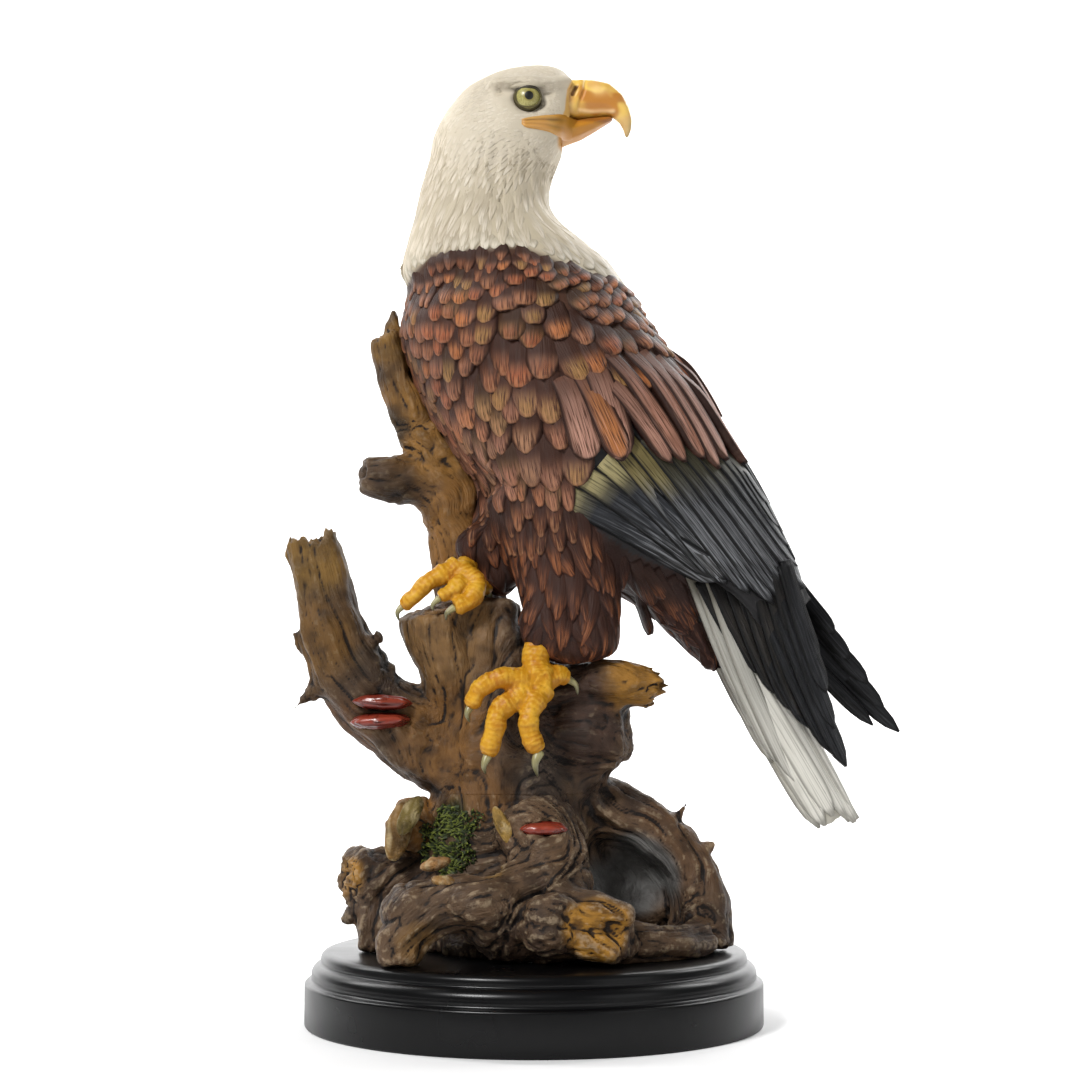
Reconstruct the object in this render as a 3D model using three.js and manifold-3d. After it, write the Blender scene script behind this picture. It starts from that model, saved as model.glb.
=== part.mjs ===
// A painted resin statue of a bald eagle on a driftwood stump, on a turned black plinth.
// Millimetres. The origin is the centre of the plinth's underside and +Z is up. The bird's chest
// faces -X, its tail +X and its left side -Y. Its head is turned back, so that the bill points to +X.
import * as THREE from "three";
import { mergeVertices } from "three/addons/utils/BufferGeometryUtils.js";
import Module from "manifold-3d";

const wasm = await Module();
wasm.setup();

// ---------------------------------------------------------------- driving dimensions

const GAP = 0.3; // clearance between neighbouring pieces
const TURN = 2 * Math.PI;

const PLINTH = { radius: 100, topRadius: 90, height: 32, band: 18.3, sides: 30 };
const DECK = PLINTH.height + GAP; // level on which the roots stand

const EYE = { x: -3, y: 17.3, z: 402.6, radius: 7.2 };
const HEAD_SIDES = 12; // flats around the skull
const BODY_SIDES = 14; // flats around the neck and body
const LEFT = -1; // the side of the bird that faces -Y
const RIGHT = 1;

// ---------------------------------------------------------------- finishes

const finish = (color, roughness) =>
  new THREE.MeshStandardMaterial({ color, roughness, metalness: 0 });
const FINISH = {
  lacquer: finish(0x141414, 0.35),
  driftwood: finish(0x5d4a3c, 0.65),
  brokenWood: finish(0x9a7438, 0.6),
  fungus: finish(0x9c3a22, 0.4),
  white: finish(0xe4dccb, 0.6),
  brown: finish(0x6d3f2c, 0.55),
  slate: finish(0x2b2c2e, 0.5),
  yellow: finish(0xdf9a1c, 0.45),
  claw: finish(0x5a4f2e, 0.4),
  iris: finish(0xc4c04a, 0.15),
};

// ---------------------------------------------------------------- solids from meshes and back

function toSolid(geometry) {
  const bare = new THREE.BufferGeometry();
  bare.setAttribute("position", geometry.getAttribute("position"));
  if (geometry.index) bare.setIndex(geometry.index);
  const merged = mergeVertices(bare, 1e-4);
  return new wasm.Manifold(
    new wasm.Mesh({
      numProp: 3,
      vertProperties: merged.attributes.position.array,
      triVerts: new Uint32Array(merged.index.array),
    }),
  );
}

function toMesh(name, solid, material) {
  const data = solid.getMesh();
  const geometry = new THREE.BufferGeometry();
  const points = new Float32Array(data.numVert * 3);
  for (let i = 0; i < data.numVert; i++) {
    for (let k = 0; k < 3; k++) points[3 * i + k] = data.vertProperties[data.numProp * i + k];
  }
  geometry.setAttribute("position", new THREE.BufferAttribute(points, 3));
  geometry.setIndex(new THREE.BufferAttribute(new Uint32Array(data.triVerts), 1));
  const mesh = new THREE.Mesh(geometry, material);
  mesh.name = name;
  return mesh;
}

const join = (solids) => solids.reduce((sum, solid) => sum.add(solid));
const largest = (solid) =>
  solid.decompose().reduce((best, body) => (body.volume() > best.volume() ? body : best));

// ---------------------------------------------------------------- lofting

// A closed mesh from points and faces, turned to face outwards.
function closedSolid(points, faces) {
  const volume = faces.reduce(
    (sum, [a, b, c]) => sum + points[a].dot(points[b].clone().cross(points[c])),
    0,
  );
  if (volume < 0) faces.forEach((face) => face.reverse());
  const geometry = new THREE.BufferGeometry();
  geometry.setAttribute(
    "position",
    new THREE.BufferAttribute(new Float32Array(points.flatMap((p) => p.toArray())), 3),
  );
  geometry.setIndex(faces.flat());
  return toSolid(geometry);
}

// The faces that join rings of equal point counts, whose points start at index first.
function sideFaces(rings, first) {
  const count = rings[0].length;
  const faces = [];
  for (let row = 0; row + 1 < rings.length; row++) {
    for (let i = 0; i < count; i++) {
      const next = (i + 1) % count;
      const [a, b] = [first + row * count + i, first + row * count + next];
      faces.push([a, b, b + count]);
      faces.push([a, b + count, a + count]);
    }
  }
  return faces;
}

// Round forms close in a fan to a pole at each end.
function skinRings(rings, startPole, endPole) {
  const count = rings[0].length;
  const points = [startPole, ...rings.flat(), endPole];
  const last = points.length - 1;
  const faces = sideFaces(rings, 1);
  for (let i = 0; i < count; i++) {
    const next = (i + 1) % count;
    faces.push([0, 1 + next, 1 + i]);
    faces.push([last, last - count + i, last - count + next]);
  }
  return closedSolid(points, faces);
}

// Thin shells, whose rings run out along one face and back along the other, close in a strip.
function skinShell(rings) {
  const count = rings[0].length;
  const faces = sideFaces(rings, 0);
  const end = (rings.length - 1) * count;
  for (let k = 0; k + 1 < count / 2; k++) {
    const back = count - 1 - k;
    faces.push([k, back - 1, k + 1]);
    faces.push([k, back, back - 1]);
    faces.push([end + k, end + k + 1, end + back - 1]);
    faces.push([end + k, end + back - 1, end + back]);
  }
  return closedSolid(rings.flat(), faces);
}

const spline = (points) =>
  new THREE.CatmullRomCurve3(
    points.map((p) => new THREE.Vector3(...p)),
    false,
    "centripetal",
  );

// Evenly spread numbers from 0 to 1.
const spread = (steps) => Array.from({ length: steps + 1 }, (_, i) => i / steps);
const lerp = THREE.MathUtils.lerp;
const rad = THREE.MathUtils.degToRad;

// A ring of points about a centre, from its two half axes. A power over 2 makes it boxier. The
// ring stands a little outside the curve, so that its flats and corners average to the curve.
function ring(centre, first, second, sides, power = 2, swell = () => 1) {
  const ease = 1 / Math.sqrt(Math.cos(Math.PI / sides));
  const squared = (v) => Math.sign(v) * Math.abs(v) ** (2 / power);
  return spread(sides).slice(0, -1).map((turn) => {
    const angle = turn * TURN;
    const factor = ease * swell(angle);
    return centre
      .clone()
      .addScaledVector(first, factor * squared(Math.cos(angle)))
      .addScaledVector(second, factor * squared(Math.sin(angle)));
  });
}

// A tapering limb along a path. Each entry of size is [half across the spread, half along it], and
// spreadAlong is the direction that the second size follows. knots(t, angle) swells the surface.
function limb({ path, size, spreadAlong, sides, steps, knots, domes, grow }) {
  const line = spline(path);
  const sizes = spline(size.map(([across, along]) => [across, along, 0]));
  const reference = new THREE.Vector3(...(spreadAlong ?? [0, 1, 0]));
  const [startDome, endDome] = domes ?? [0, 0];
  const rings = spread(steps ?? 4).map((t) => {
    const tangent = line.getTangent(t).normalize();
    const along = reference.clone().addScaledVector(tangent, -reference.dot(tangent)).normalize();
    const across = along.clone().cross(tangent);
    const centre = line.getPoint(t);
    if (t === 0) centre.addScaledVector(tangent, -grow);
    if (t === 1) centre.addScaledVector(tangent, grow);
    const half = sizes.getPoint(t);
    return ring(
      centre,
      across.multiplyScalar(half.x + grow),
      along.multiplyScalar(half.y + grow),
      sides ?? 8,
      2,
      knots ? (angle) => knots(t, angle) : undefined,
    );
  });
  const start = line.getPoint(0).addScaledVector(line.getTangent(0), -startDome - grow);
  const end = line.getPoint(1).addScaledVector(line.getTangent(1), endDome + grow);
  return skinRings(rings, start, end);
}

// A round limb: one radius for each path point.
const roundLimb = (path, radii, options) =>
  limb({ path, size: radii.map((r) => [r, r]), ...options });

// An ellipsoid from a scaled, turned sphere.
function pebble(centre, radii, turnY = 0, grow = 0) {
  const geometry = new THREE.SphereGeometry(1, 8, 4);
  geometry.scale(...radii.map((r) => r + grow));
  geometry.rotateY(turnY);
  geometry.translate(...centre);
  return toSolid(geometry);
}

// ---------------------------------------------------------------- plinth

function plinth() {
  const { radius, topRadius, height, band } = PLINTH;
  const profile = [
    [0, 0],
    [radius - 0.8, 0],
    [radius, 0.8],
    [radius, band],
    [radius - 1.6, band + 1.2],
    [radius - 2.2, band + 3.6],
    [radius - 5.2, band + 6.6],
    [radius - 6, band + 8.8],
    [radius - 8.8, band + 11.6],
    [topRadius, height],
    [0, height],
  ];
  const geometry = new THREE.LatheGeometry(
    profile.map(([r, z]) => new THREE.Vector2(r, z)),
    PLINTH.sides,
  );
  geometry.rotateX(Math.PI / 2);
  return toSolid(geometry);
}

// ---------------------------------------------------------------- driftwood

// The fluted, swollen surface of weathered wood. phase makes each limb its own.
const gnarl = (phase, depth = 0.05) => (t, angle) =>
  1 +
  depth * Math.sin(3 * angle + phase + 2.4 * t) +
  0.5 * depth * Math.sin(9 * t + phase);

const wood = (path, radii, phase, options = {}) => (grow) =>
  roundLimb(path, radii, { sides: 8, knots: gnarl(phase), grow, ...options });

// A pointed splinter or spur.
const spur = (from, to, radius) => (grow) =>
  roundLimb([from, to], [radius, 0.3 * radius], { sides: 4, steps: 1, domes: [0, radius], grow });

// A straight bore, for the hollow left by rotten heartwood.
const bore = (from, to, radii) => (grow) => roundLimb([from, to], radii, { sides: 6, steps: 1, grow });

const all = (...makers) => (grow) => join(makers.map((make) => make(grow)));

// Removes a hollow from a maker's solid. A grown copy keeps the same hollow, a little smaller.
const hollowed = (make, hollow) => (grow) => make(grow).subtract(hollow(-grow));

const BULGE = wood(
  [[4, -8, 94], [18, -11, 110], [24, -13, 123], [25, -14, 138]],
  [14, 14, 19, 17],
  2.1,
  { steps: 3, domes: [4, 3] },
);
const MIDDLE_ROOT = wood(
  [[-2, -30, 90], [5, -39, 74], [11, -48, 56], [15, -54, DECK + 2]],
  [17, 17, 15, 13],
  5.6,
  { steps: 3 },
);
const BURL = (grow) => pebble([-53, -9, 85], [12, 9, 13.5], rad(24), grow);
const TRUNK = all(
  wood(
    [[-6, 4, 28], [-8, 3, 60], [-9, 2, 95], [-10, 0, 128], [-13, 0, 158], [-13, 1, 174]],
    [48, 42, 38, 33, 24, 15],
    0.4,
    { sides: 9, steps: 5, domes: [0, 4] },
  ),
  wood([[-16, -6, 126], [-20, -9, 154], [-20, -8, 182]], [20, 17, 15], 1.9, {
    sides: 7,
    steps: 3,
    domes: [0, 3],
  }),
  BULGE,
  MIDDLE_ROOT,
  BURL,
);
const FAR_FOOT_KNOB = wood(
  [[-22, -4, 126], [-31, -8, 148], [-38.5, -10, 162], [-42, -11, 178]],
  [18, 14, 16, 16.5],
  4.2,
  { sides: 9, domes: [0, 3] },
);

const SNAG = all(
  wood(
    [
      [-28, 12, 136], [-28, 12, 180], [-32, 11, 214], [-42, 10, 246], [-51, 9, 268], [-58, 9, 285],
      [-63, 9, 302],
    ],
    [20, 15.5, 14.5, 13.5, 12, 11.5, 10],
    1.2,
    { sides: 7, steps: 6 },
  ),
  spur([-66, 6, 290], [-63, 5, 309], 5.5),
);
const SNAG_STUB = hollowed(
  wood([[-42, 8, 235], [-58, 3, 238], [-75.5, -2, 239.5]], [9.5, 9.5, 7], 3.3, { steps: 3 }),
  bore([-69, -0.5, 239], [-78, -3, 239.5], [3, 4.6]),
);

const BRANCH = hollowed(
  all(
    wood(
      [
        [-26, 0, 112], [-53, -3, 126], [-71, -4, 139], [-83.5, -4, 156], [-89, -4, 172], [-93, -3, 190],
        [-98.5, -2, 211.5],
      ],
      [21, 17.5, 15.5, 15.5, 13.5, 12, 11.5],
      0.9,
      { steps: 6 },
    ),
    spur([-98, -5, 162], [-104, -6, 168], 5),
    spur([-91, -6, 148], [-101.5, -8, 138.5], 6),
    spur([-76, -6, 160], [-69, -9, 166.5], 7),
    spur([-104, -2, 203], [-104.5, -2, 211], 6),
  ),
  bore([-96, -2, 203], [-98.5, -2, 215], [4, 8]),
);

const RIGHT_STUB = hollowed(
  wood([[12, -14, 144], [26, -19, 146], [40, -22, 146], [52, -24, 144]], [12.5, 10.5, 10.5, 9], 5.1, {
    steps: 3,
  }),
  bore([43, -25, 144], [56, -27, 143.5], [3.6, 6]),
);

const ROOT_LEFT = all(
  wood([[-30, 6, 62], [-50, 2, 59], [-66, -4, 60.5], [-80.5, -8, 67]], [20, 15, 13.5, 11], 1.7, {
    domes: [0, 3],
  }),
  spur([-72, -9, 51], [-79.5, -10, 46.5], 6),
  wood([[-64, -5, 54], [-66, -10, 42], [-66, -12, DECK]], [11, 10, 9.5], 2.9, { steps: 2 }),
);
const ROOT_FRONT = wood(
  [[14, -44, 68], [-8, -53, 61.5], [-28, -58, 58], [-45, -60, 54], [-53.5, -62, 45], [-54, -64, DECK + 1]],
  [14, 11, 10, 10.5, 9, 8.5],
  3.8,
  { steps: 7 },
);
const ROOT_HOLLOW = hollowed(
  wood([[6, -44, 52], [20, -59, 48], [37, -67, 43.5]], [14, 14, 10.5], 2.4, { steps: 3 }),
  (grow) => pebble([35, -78, 46], [15, 12, 8], rad(24), grow),
);
const ROOT_ARCH = all(
  wood(
    [[8, 6, 96], [32, 2, 92], [53, -2, 82.5], [66, -5, 67], [71, -8, 50], [71.5, -12, DECK + 1]],
    [20, 15, 13, 12.5, 13.5, 14],
    0.7,
    { steps: 6 },
  ),
  spur([56, -4, 84], [63.5, -6, 92], 7),
  spur([69, -7, 72], [76.5, -8, 77], 5),
);
const ROOT_SILL = wood([[28, -54, 40], [50, -45, 39], [70, -22, 38]], [8.5, 8.5, 10], 4.9, { steps: 3 });
const ROOT_BACK_RIGHT = wood(
  [[6, 18, 78], [28, 38, 58], [50, 50, 44], [64, 54, DECK + 3]],
  [26, 21, 15, 9],
  3.1,
);
const ROOT_BACK_LEFT = wood(
  [[-14, 18, 80], [-34, 40, 58], [-52, 54, 44], [-60, 60, DECK + 3]],
  [26, 20, 15, 9],
  1.1,
);

// Trims whatever reaches below the deck of the plinth.
function aboveDeck(solid) {
  const slab = new THREE.BoxGeometry(4 * PLINTH.radius, 4 * PLINTH.radius, 2 * PLINTH.height);
  slab.translate(0, 0, DECK - PLINTH.height);
  return solid.subtract(toSolid(slab));
}

// A bracket fungus: a flat cap whose rim stands out from the wood.
const bracket = (centre, [reach, half, thick], tilt) => (grow) =>
  pebble(centre, [reach, half, thick], tilt, grow);

// ---------------------------------------------------------------- head

// [x, top, bottom, half width] of the skull, from the nape to the base of the bill.
const SKULL = [
  [-45.5, 390, 377, 6],
  [-40, 400.6, 364, 15],
  [-30, 412.8, 356, 20.5],
  [-15, 420, 358, 23.2],
  [-2, 422.2, 366, 22.6],
  [8, 422.2, 377, 18.8],
  [14, 419.8, 385, 14],
  [17.5, 416.6, 391, 11],
];
const SKULL_SQUARE = 2.35; // exponent of the section, a little boxier than an ellipse

function skull(grow) {
  const heights = spline(SKULL.map(([x, top, bottom]) => [x, top, bottom]));
  const widths = spline(SKULL.map(([x, , , half]) => [x, half, 0]));
  const rings = spread(7).map((t) => {
    const { x, y: top, z: bottom } = heights.getPoint(t);
    const centre = new THREE.Vector3(x, 0, (top + bottom) / 2);
    const across = new THREE.Vector3(0, widths.getPoint(t).y + grow, 0);
    const tall = new THREE.Vector3(0, 0, (top - bottom) / 2 + grow);
    return ring(centre, across, tall, HEAD_SIDES, SKULL_SQUARE);
  });
  const pole = ([x, top, bottom], out) => new THREE.Vector3(x + out, 0, (top + bottom) / 2);
  return skinRings(rings, pole(SKULL[0], -2 - grow), pole(SKULL[SKULL.length - 1], 0.5 + grow));
}

const brow = (side) => (grow) =>
  limb({
    path: [
      [-20, side * 20, 409.4], [-6, side * 21, 410.4], [5, side * 19.2, 411], [14, side * 12.4, 412],
    ],
    size: [[1.8, 2.2], [2.6, 3], [2.6, 3], [1.4, 1.8]],
    sides: 5,
    steps: 2,
    grow,
  });

const eye = (side) => (grow) =>
  pebble([EYE.x, side * EYE.y, EYE.z], [EYE.radius, EYE.radius, EYE.radius], 0, grow);

const UPPER_BILL = (grow) =>
  limb({
    path: [
      [11, 0, 405.8], [18, 0, 406.2], [25, 0, 406.6], [31, 0, 406.4], [36.2, 0, 403.7], [39.9, 0, 399],
      [41.4, 0, 393.8], [41.2, 0, 389.8],
    ],
    size: [
      [9.4, 11.4], [9.3, 9.6], [8.9, 8], [8.2, 6.6], [6, 4.8], [3.5, 3.2], [2, 1.8], [0.7, 0.7],
    ],
    sides: 10,
    steps: 9,
    domes: [0, 0.6],
    grow,
  });
const LOWER_BILL = (grow) =>
  limb({
    path: [[4, 0, 391.6], [12, 0, 391], [19, 0, 392.8], [26, 0, 395.2], [34.5, 0, 398]],
    size: [[3, 9.6], [5.4, 8.4], [4.6, 7], [3.2, 5.4], [1, 2.6]],
    domes: [0, 0.6],
    grow,
  });

// ---------------------------------------------------------------- body

// Level sections of the neck: [height, x at the nape, x at the throat, half width].
const NECK = [
  [388, -44.5, 12, 20],
  [378.5, -47, 12.6, 23],
  [371, -51, 9.3, 25],
  [358, -53.6, 7.6, 27.5],
  [350, -55.5, 14, 32],
  [342, -57.6, 24, 37],
  [335, -59.3, 29.5, 41],
  [325, -60.5, 33, 43.5],
];
function neck(grow) {
  const depths = spline(NECK.map(([z, nape, throat]) => [z, nape, throat]));
  const widths = spline(NECK.map(([z, , , half]) => [z, half, 0]));
  const rings = spread(7).map((t) => {
    const { x: z, y: nape, z: throat } = depths.getPoint(t);
    const lift = t === 0 ? grow : t === 1 ? -grow : 0;
    const centre = new THREE.Vector3((nape + throat) / 2, 0, z + lift);
    const deep = new THREE.Vector3((throat - nape) / 2 + grow, 0, 0);
    const across = new THREE.Vector3(0, widths.getPoint(t).y + grow, 0);
    return ring(centre, deep, across, BODY_SIDES);
  });
  const pole = ([z, nape, throat], out) => new THREE.Vector3((nape + throat) / 2, 0, z + out);
  return skinRings(rings, pole(NECK[0], grow), pole(NECK[NECK.length - 1], -grow));
}

// Stations down the bird's back: centre [x, z], half depth from back to belly, half width.
const BODY = [
  [[-18, 334], 38, 34], [[-15.5, 322], 48.5, 43.5], [[-5, 300], 53, 47], [[7, 278], 52, 47.5],
  [[20, 256], 50, 45.5], [[36, 230], 42, 40], [[52, 206], 30, 31], [[66, 188], 18, 21], [[75, 172], 9, 14],
];
const sagittal = (stations, options) => (grow) =>
  limb({
    path: stations.map(([[x, z]]) => [x, 0, z]),
    size: stations.map(([, deep, wide]) => [deep, wide]),
    sides: BODY_SIDES,
    grow,
    ...options,
  });
const BODY_FORM = sagittal(BODY, { steps: 7, domes: [3, 4] });

// ---------------------------------------------------------------- wings

// Stations of a feathered shell that wraps the body: centre [x, z], half depth, half width, then the
// angles from the middle of the back at which the shell starts and ends, and its thickness.
const SHOULDER = [
  [[-13, 325], 40, 46, 30, 120, 4], [[-7, 310], 44.5, 50, 16, 146, 7], [[3, 286], 51.5, 52.5, 7, 152, 9],
  [[14, 266], 55.5, 52.5, 4, 148, 9], [[27, 247], 56.5, 51, 4, 132, 8], [[40, 231], 53.5, 48, 4, 121, 7],
];
const FLIGHT = [
  [[27, 247], 54, 49, 5, 124, 7], [[42, 231], 52, 46, 4, 116, 7], [[60, 215], 45.5, 41, 4, 112, 6.5],
  [[78, 197], 37, 34, 4, 103, 6], [[92, 181], 30.5, 26, 4, 100, 5], [[104, 166], 25, 20, 4, 102, 4],
];
const TAIL = [
  [[69.5, 188.5], 9.5, 14, -114, 114, 3], [[84.5, 161.5], 13, 16, -118, 118, 3.6],
  [[106.5, 122], 14.5, 17.5, -118, 118, 3.4], [[121, 97], 13.5, 17.5, -114, 114, 3],
  [[127.8, 86], 11.5, 15.5, -106, 106, 2],
];
const BAND_STEPS = 5;

// One closed section of a shell: out along the outer face, and back along the inner one.
function shellRing(centre, tangent, [deep, wide, from, to, thick], side, grow) {
  const dorsal = new THREE.Vector3(-tangent.z, 0, tangent.x);
  const lean = grow / deep;
  const point = (angle, inset) =>
    centre
      .clone()
      .addScaledVector(dorsal, (deep - inset) * Math.cos(angle))
      .add(new THREE.Vector3(0, side * (wide - inset) * Math.sin(angle), 0));
  const angles = spread(BAND_STEPS).map((t) => lerp(rad(from) - lean, rad(to) + lean, t));
  const edge = (t) => thick * (0.35 + 0.65 * Math.sin(Math.PI * t) ** 0.5);
  const outer = angles.map((angle) => point(angle, -grow));
  const inner = angles.map((angle, i) => point(angle, edge(i / BAND_STEPS) + grow));
  return [...outer, ...inner.reverse()];
}

const shell = (stations, side, steps) => (grow) => {
  const line = spline(stations.map(([[x, z]]) => [x, 0, z]));
  const sizes = spline(stations.map(([, deep, wide]) => [deep, wide, 0]));
  const arcs = spline(stations.map(([, , , from, to, thick]) => [from, to, thick]));
  const rings = spread(steps).map((t) => {
    const half = sizes.getPoint(t);
    const arc = arcs.getPoint(t);
    const tangent = line.getTangent(t);
    const centre = line.getPoint(t);
    if (t === 0) centre.addScaledVector(tangent, -grow);
    if (t === 1) centre.addScaledVector(tangent, grow);
    return shellRing(centre, tangent, [half.x, half.y, arc.x, arc.y, arc.z], side, grow);
  });
  return skinShell(rings);
};

// The stacked primaries of each wing, as one thin pointed blade.
const LEFT_PRIMARIES = (grow) =>
  limb({
    path: [[96, -17, 173], [109, -18, 156], [116.5, -17, 143.5], [125.8, -15, 122.5], [134.5, -13, 112.3]],
    size: [[11, 3], [11.5, 3], [9.8, 2.6], [6.6, 2.2], [2, 1.2]],
    sides: 6,
    steps: 5,
    domes: [0, 1.5],
    grow,
  });
const RIGHT_PRIMARIES = (grow) =>
  limb({
    path: [[105, 17, 182], [123.5, 16, 166.5], [138.5, 14, 152], [151, 13, 140], [160.5, 12, 128.5]],
    size: [[11.5, 3], [8.6, 2.8], [6.2, 2.4], [4.6, 2], [2, 1]],
    sides: 6,
    steps: 5,
    domes: [0, 1.5],
    grow,
  });

const UNDERTAIL = all(
  sagittal([[[50, 194], 11, 19], [[61, 180.5], 10.5, 16.5], [[71.5, 167], 8, 12.5], [[80, 152.5], 3, 6]], {
    sides: 10,
    steps: 4,
    domes: [0, 2],
  }),
  spur([54, -8, 178], [54, -9, 172], 4),
);

// ---------------------------------------------------------------- legs and feet

const LEFT_THIGH = (grow) =>
  limb({
    path: [[10, -18, 232], [14, -22, 208], [16, -26, 186], [18.5, -28, 168], [20, -28, 156.5]],
    size: [[34, 24], [27, 21], [23, 17.5], [20, 14.5], [17, 12]],
    sides: 9,
    domes: [0, 1.5],
    grow,
  });
const RIGHT_THIGH = (grow) =>
  limb({
    path: [[0, 12, 232], [-7, 4, 214], [-15, -5, 200], [-19, -9, 187]],
    size: [[30, 24], [22.5, 18], [14.5, 13], [9, 9]],
    sides: 7,
    steps: 3,
    domes: [0, 1.5],
    grow,
  });

// Each foot: the shank, and the knuckle points of its four toes, the hind toe last.
const LEFT_FOOT = {
  side: "left",
  shank: [[6, -28, 168], [4, -32, 158], [3, -36, 149]],
  shankRadii: [6.6, 6.2, 7],
  toeRadii: [5.4, 4.7, 4.1],
  toes: [
    [[0, -37, 148], [-11, -43, 147.5], [-23.5, -42, 141.5]],
    [[-2, -38, 145], [-12, -46, 135], [-19, -46.5, 119]],
    [[3, -38, 145], [-0.5, -46.5, 132], [0, -46.5, 119.5]],
    [[8, -33, 150], [15, -35, 149], [18, -34, 142]],
  ],
  claws: [[-25.5, -40, 133], [-21, -44, 111], [2.8, -43, 108], [18.5, -31, 135]],
};
const RIGHT_FOOT = {
  side: "right",
  shank: [[-27, -12, 203], [-30.5, -15, 198], [-33, -17, 194]],
  shankRadii: [5.6, 5.2, 5.8],
  toeRadii: [4.6, 3.9, 3.4],
  toes: [
    [[-35, -18, 194.5], [-46.5, -23, 189.3], [-56, -23, 181.5]],
    [[-34, -20, 193], [-38.5, -27, 188.5], [-40.5, -29, 183]],
    [[-31, -19, 194], [-24, -25, 190], [-32, -29, 181.5]],
    [[-29, -14, 194], [-24, -10, 191], [-21.5, -9, 185]],
  ],
  claws: [[-58.5, -21, 176], [-42.5, -26.5, 176.5], [-37.5, -28, 175.5], [-21, -9, 178]],
};
const CLAW_RADII = [2.9, 1.9, 0.6];

const shank = (foot) => (grow) =>
  roundLimb(foot.shank, foot.shankRadii, { sides: 7, steps: 2, domes: [0, 3], grow });
const toe = (foot, points) => (grow) =>
  roundLimb(points, foot.toeRadii, { sides: 7, steps: 3, domes: [0, 2.4], grow });
function claw(foot, index) {
  const [, knuckle, end] = foot.toes[index];
  const tip = foot.claws[index];
  const belly = end.map((v, i) => v + 0.45 * (tip[i] - v) + 0.3 * (v - knuckle[i]));
  return (grow) => roundLimb([end, belly, tip], CLAW_RADII, { sides: 4, steps: 2, domes: [0, 0.6], grow });
}

// ---------------------------------------------------------------- assembly

// Pieces in order of precedence: each is cut back, with the gap, by the ones before it that it meets.
const made = [];

function place(name, make, material, options = {}) {
  let solid = make(0);
  if (options.onDeck) solid = aboveDeck(solid);
  for (const other of made) solid = solid.subtract(other.grown);
  made.push({ name, material, solid: largest(solid), grown: make(GAP) });
}

place("plinth", plinth, FINISH.lacquer);
for (const [name, side] of [["left", LEFT], ["right", RIGHT]]) {
  place(`eye_${name}`, eye(side), FINISH.iris);
}
place("bill_upper", UPPER_BILL, FINISH.yellow);
place("bill_lower", LOWER_BILL, FINISH.yellow);
place("head", all(skull, brow(LEFT), brow(RIGHT)), FINISH.white);
place("neck", neck, FINISH.white);
place("body", BODY_FORM, FINISH.brown);
for (const [name, side] of [["left", LEFT], ["right", RIGHT]]) {
  place(`wing_${name}_coverts`, shell(SHOULDER, side, 5), FINISH.brown);
  place(`wing_${name}_secondaries`, shell(FLIGHT, side, 4), FINISH.slate);
}
place("wing_left_primaries", LEFT_PRIMARIES, FINISH.slate);
place("wing_right_primaries", RIGHT_PRIMARIES, FINISH.slate);
place("undertail", UNDERTAIL, FINISH.brown);
place("tail", shell(TAIL, 1, 4), FINISH.white);
for (const foot of [LEFT_FOOT, RIGHT_FOOT]) {
  place(`shank_${foot.side}`, shank(foot), FINISH.yellow);
  foot.toes.forEach((points, i) => place(`toe_${foot.side}_${i + 1}`, toe(foot, points), FINISH.yellow));
  foot.toes.forEach((_, i) => place(`claw_${foot.side}_${i + 1}`, claw(foot, i), FINISH.claw));
}
place("thigh_left", LEFT_THIGH, FINISH.brown);
place("thigh_right", RIGHT_THIGH, FINISH.brown);

const deck = { onDeck: true };
place("fungus_upper", bracket([-65, -21, 139], [13, 8.5, 3], rad(2)), FINISH.fungus);
place("fungus_lower", bracket([-66, -21, 131], [13.5, 9.5, 3.2], rad(-3)), FINISH.fungus);
place("fungus_front", bracket([3.6, -46, 86.5], [11, 8, 3.2], 0), FINISH.fungus);
place("stump_trunk", TRUNK, FINISH.driftwood, deck);
place("stump_knob", FAR_FOOT_KNOB, FINISH.driftwood);
place("stump_snag", SNAG, FINISH.driftwood);
place("stump_snag_stub", SNAG_STUB, FINISH.driftwood);
place("stump_branch", BRANCH, FINISH.driftwood);
place("stump_stub_right", RIGHT_STUB, FINISH.brokenWood);
place("root_arch", ROOT_ARCH, FINISH.driftwood, deck);
place("root_sill", ROOT_SILL, FINISH.driftwood, deck);
place("root_hollow", ROOT_HOLLOW, FINISH.brokenWood, deck);
place("root_front", ROOT_FRONT, FINISH.driftwood, deck);
place("root_left", ROOT_LEFT, FINISH.driftwood, deck);
place("root_back_right", ROOT_BACK_RIGHT, FINISH.driftwood, deck);
place("root_back_left", ROOT_BACK_LEFT, FINISH.driftwood, deck);

const statue = new THREE.Group();
made.forEach(({ name, solid, material }) => statue.add(toMesh(name, solid, material)));

export default statue;
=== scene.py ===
import math

import bmesh
import bpy
import numpy as np
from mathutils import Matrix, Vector
from mathutils.bvhtree import BVHTree
from mathutils.kdtree import KDTree


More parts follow.
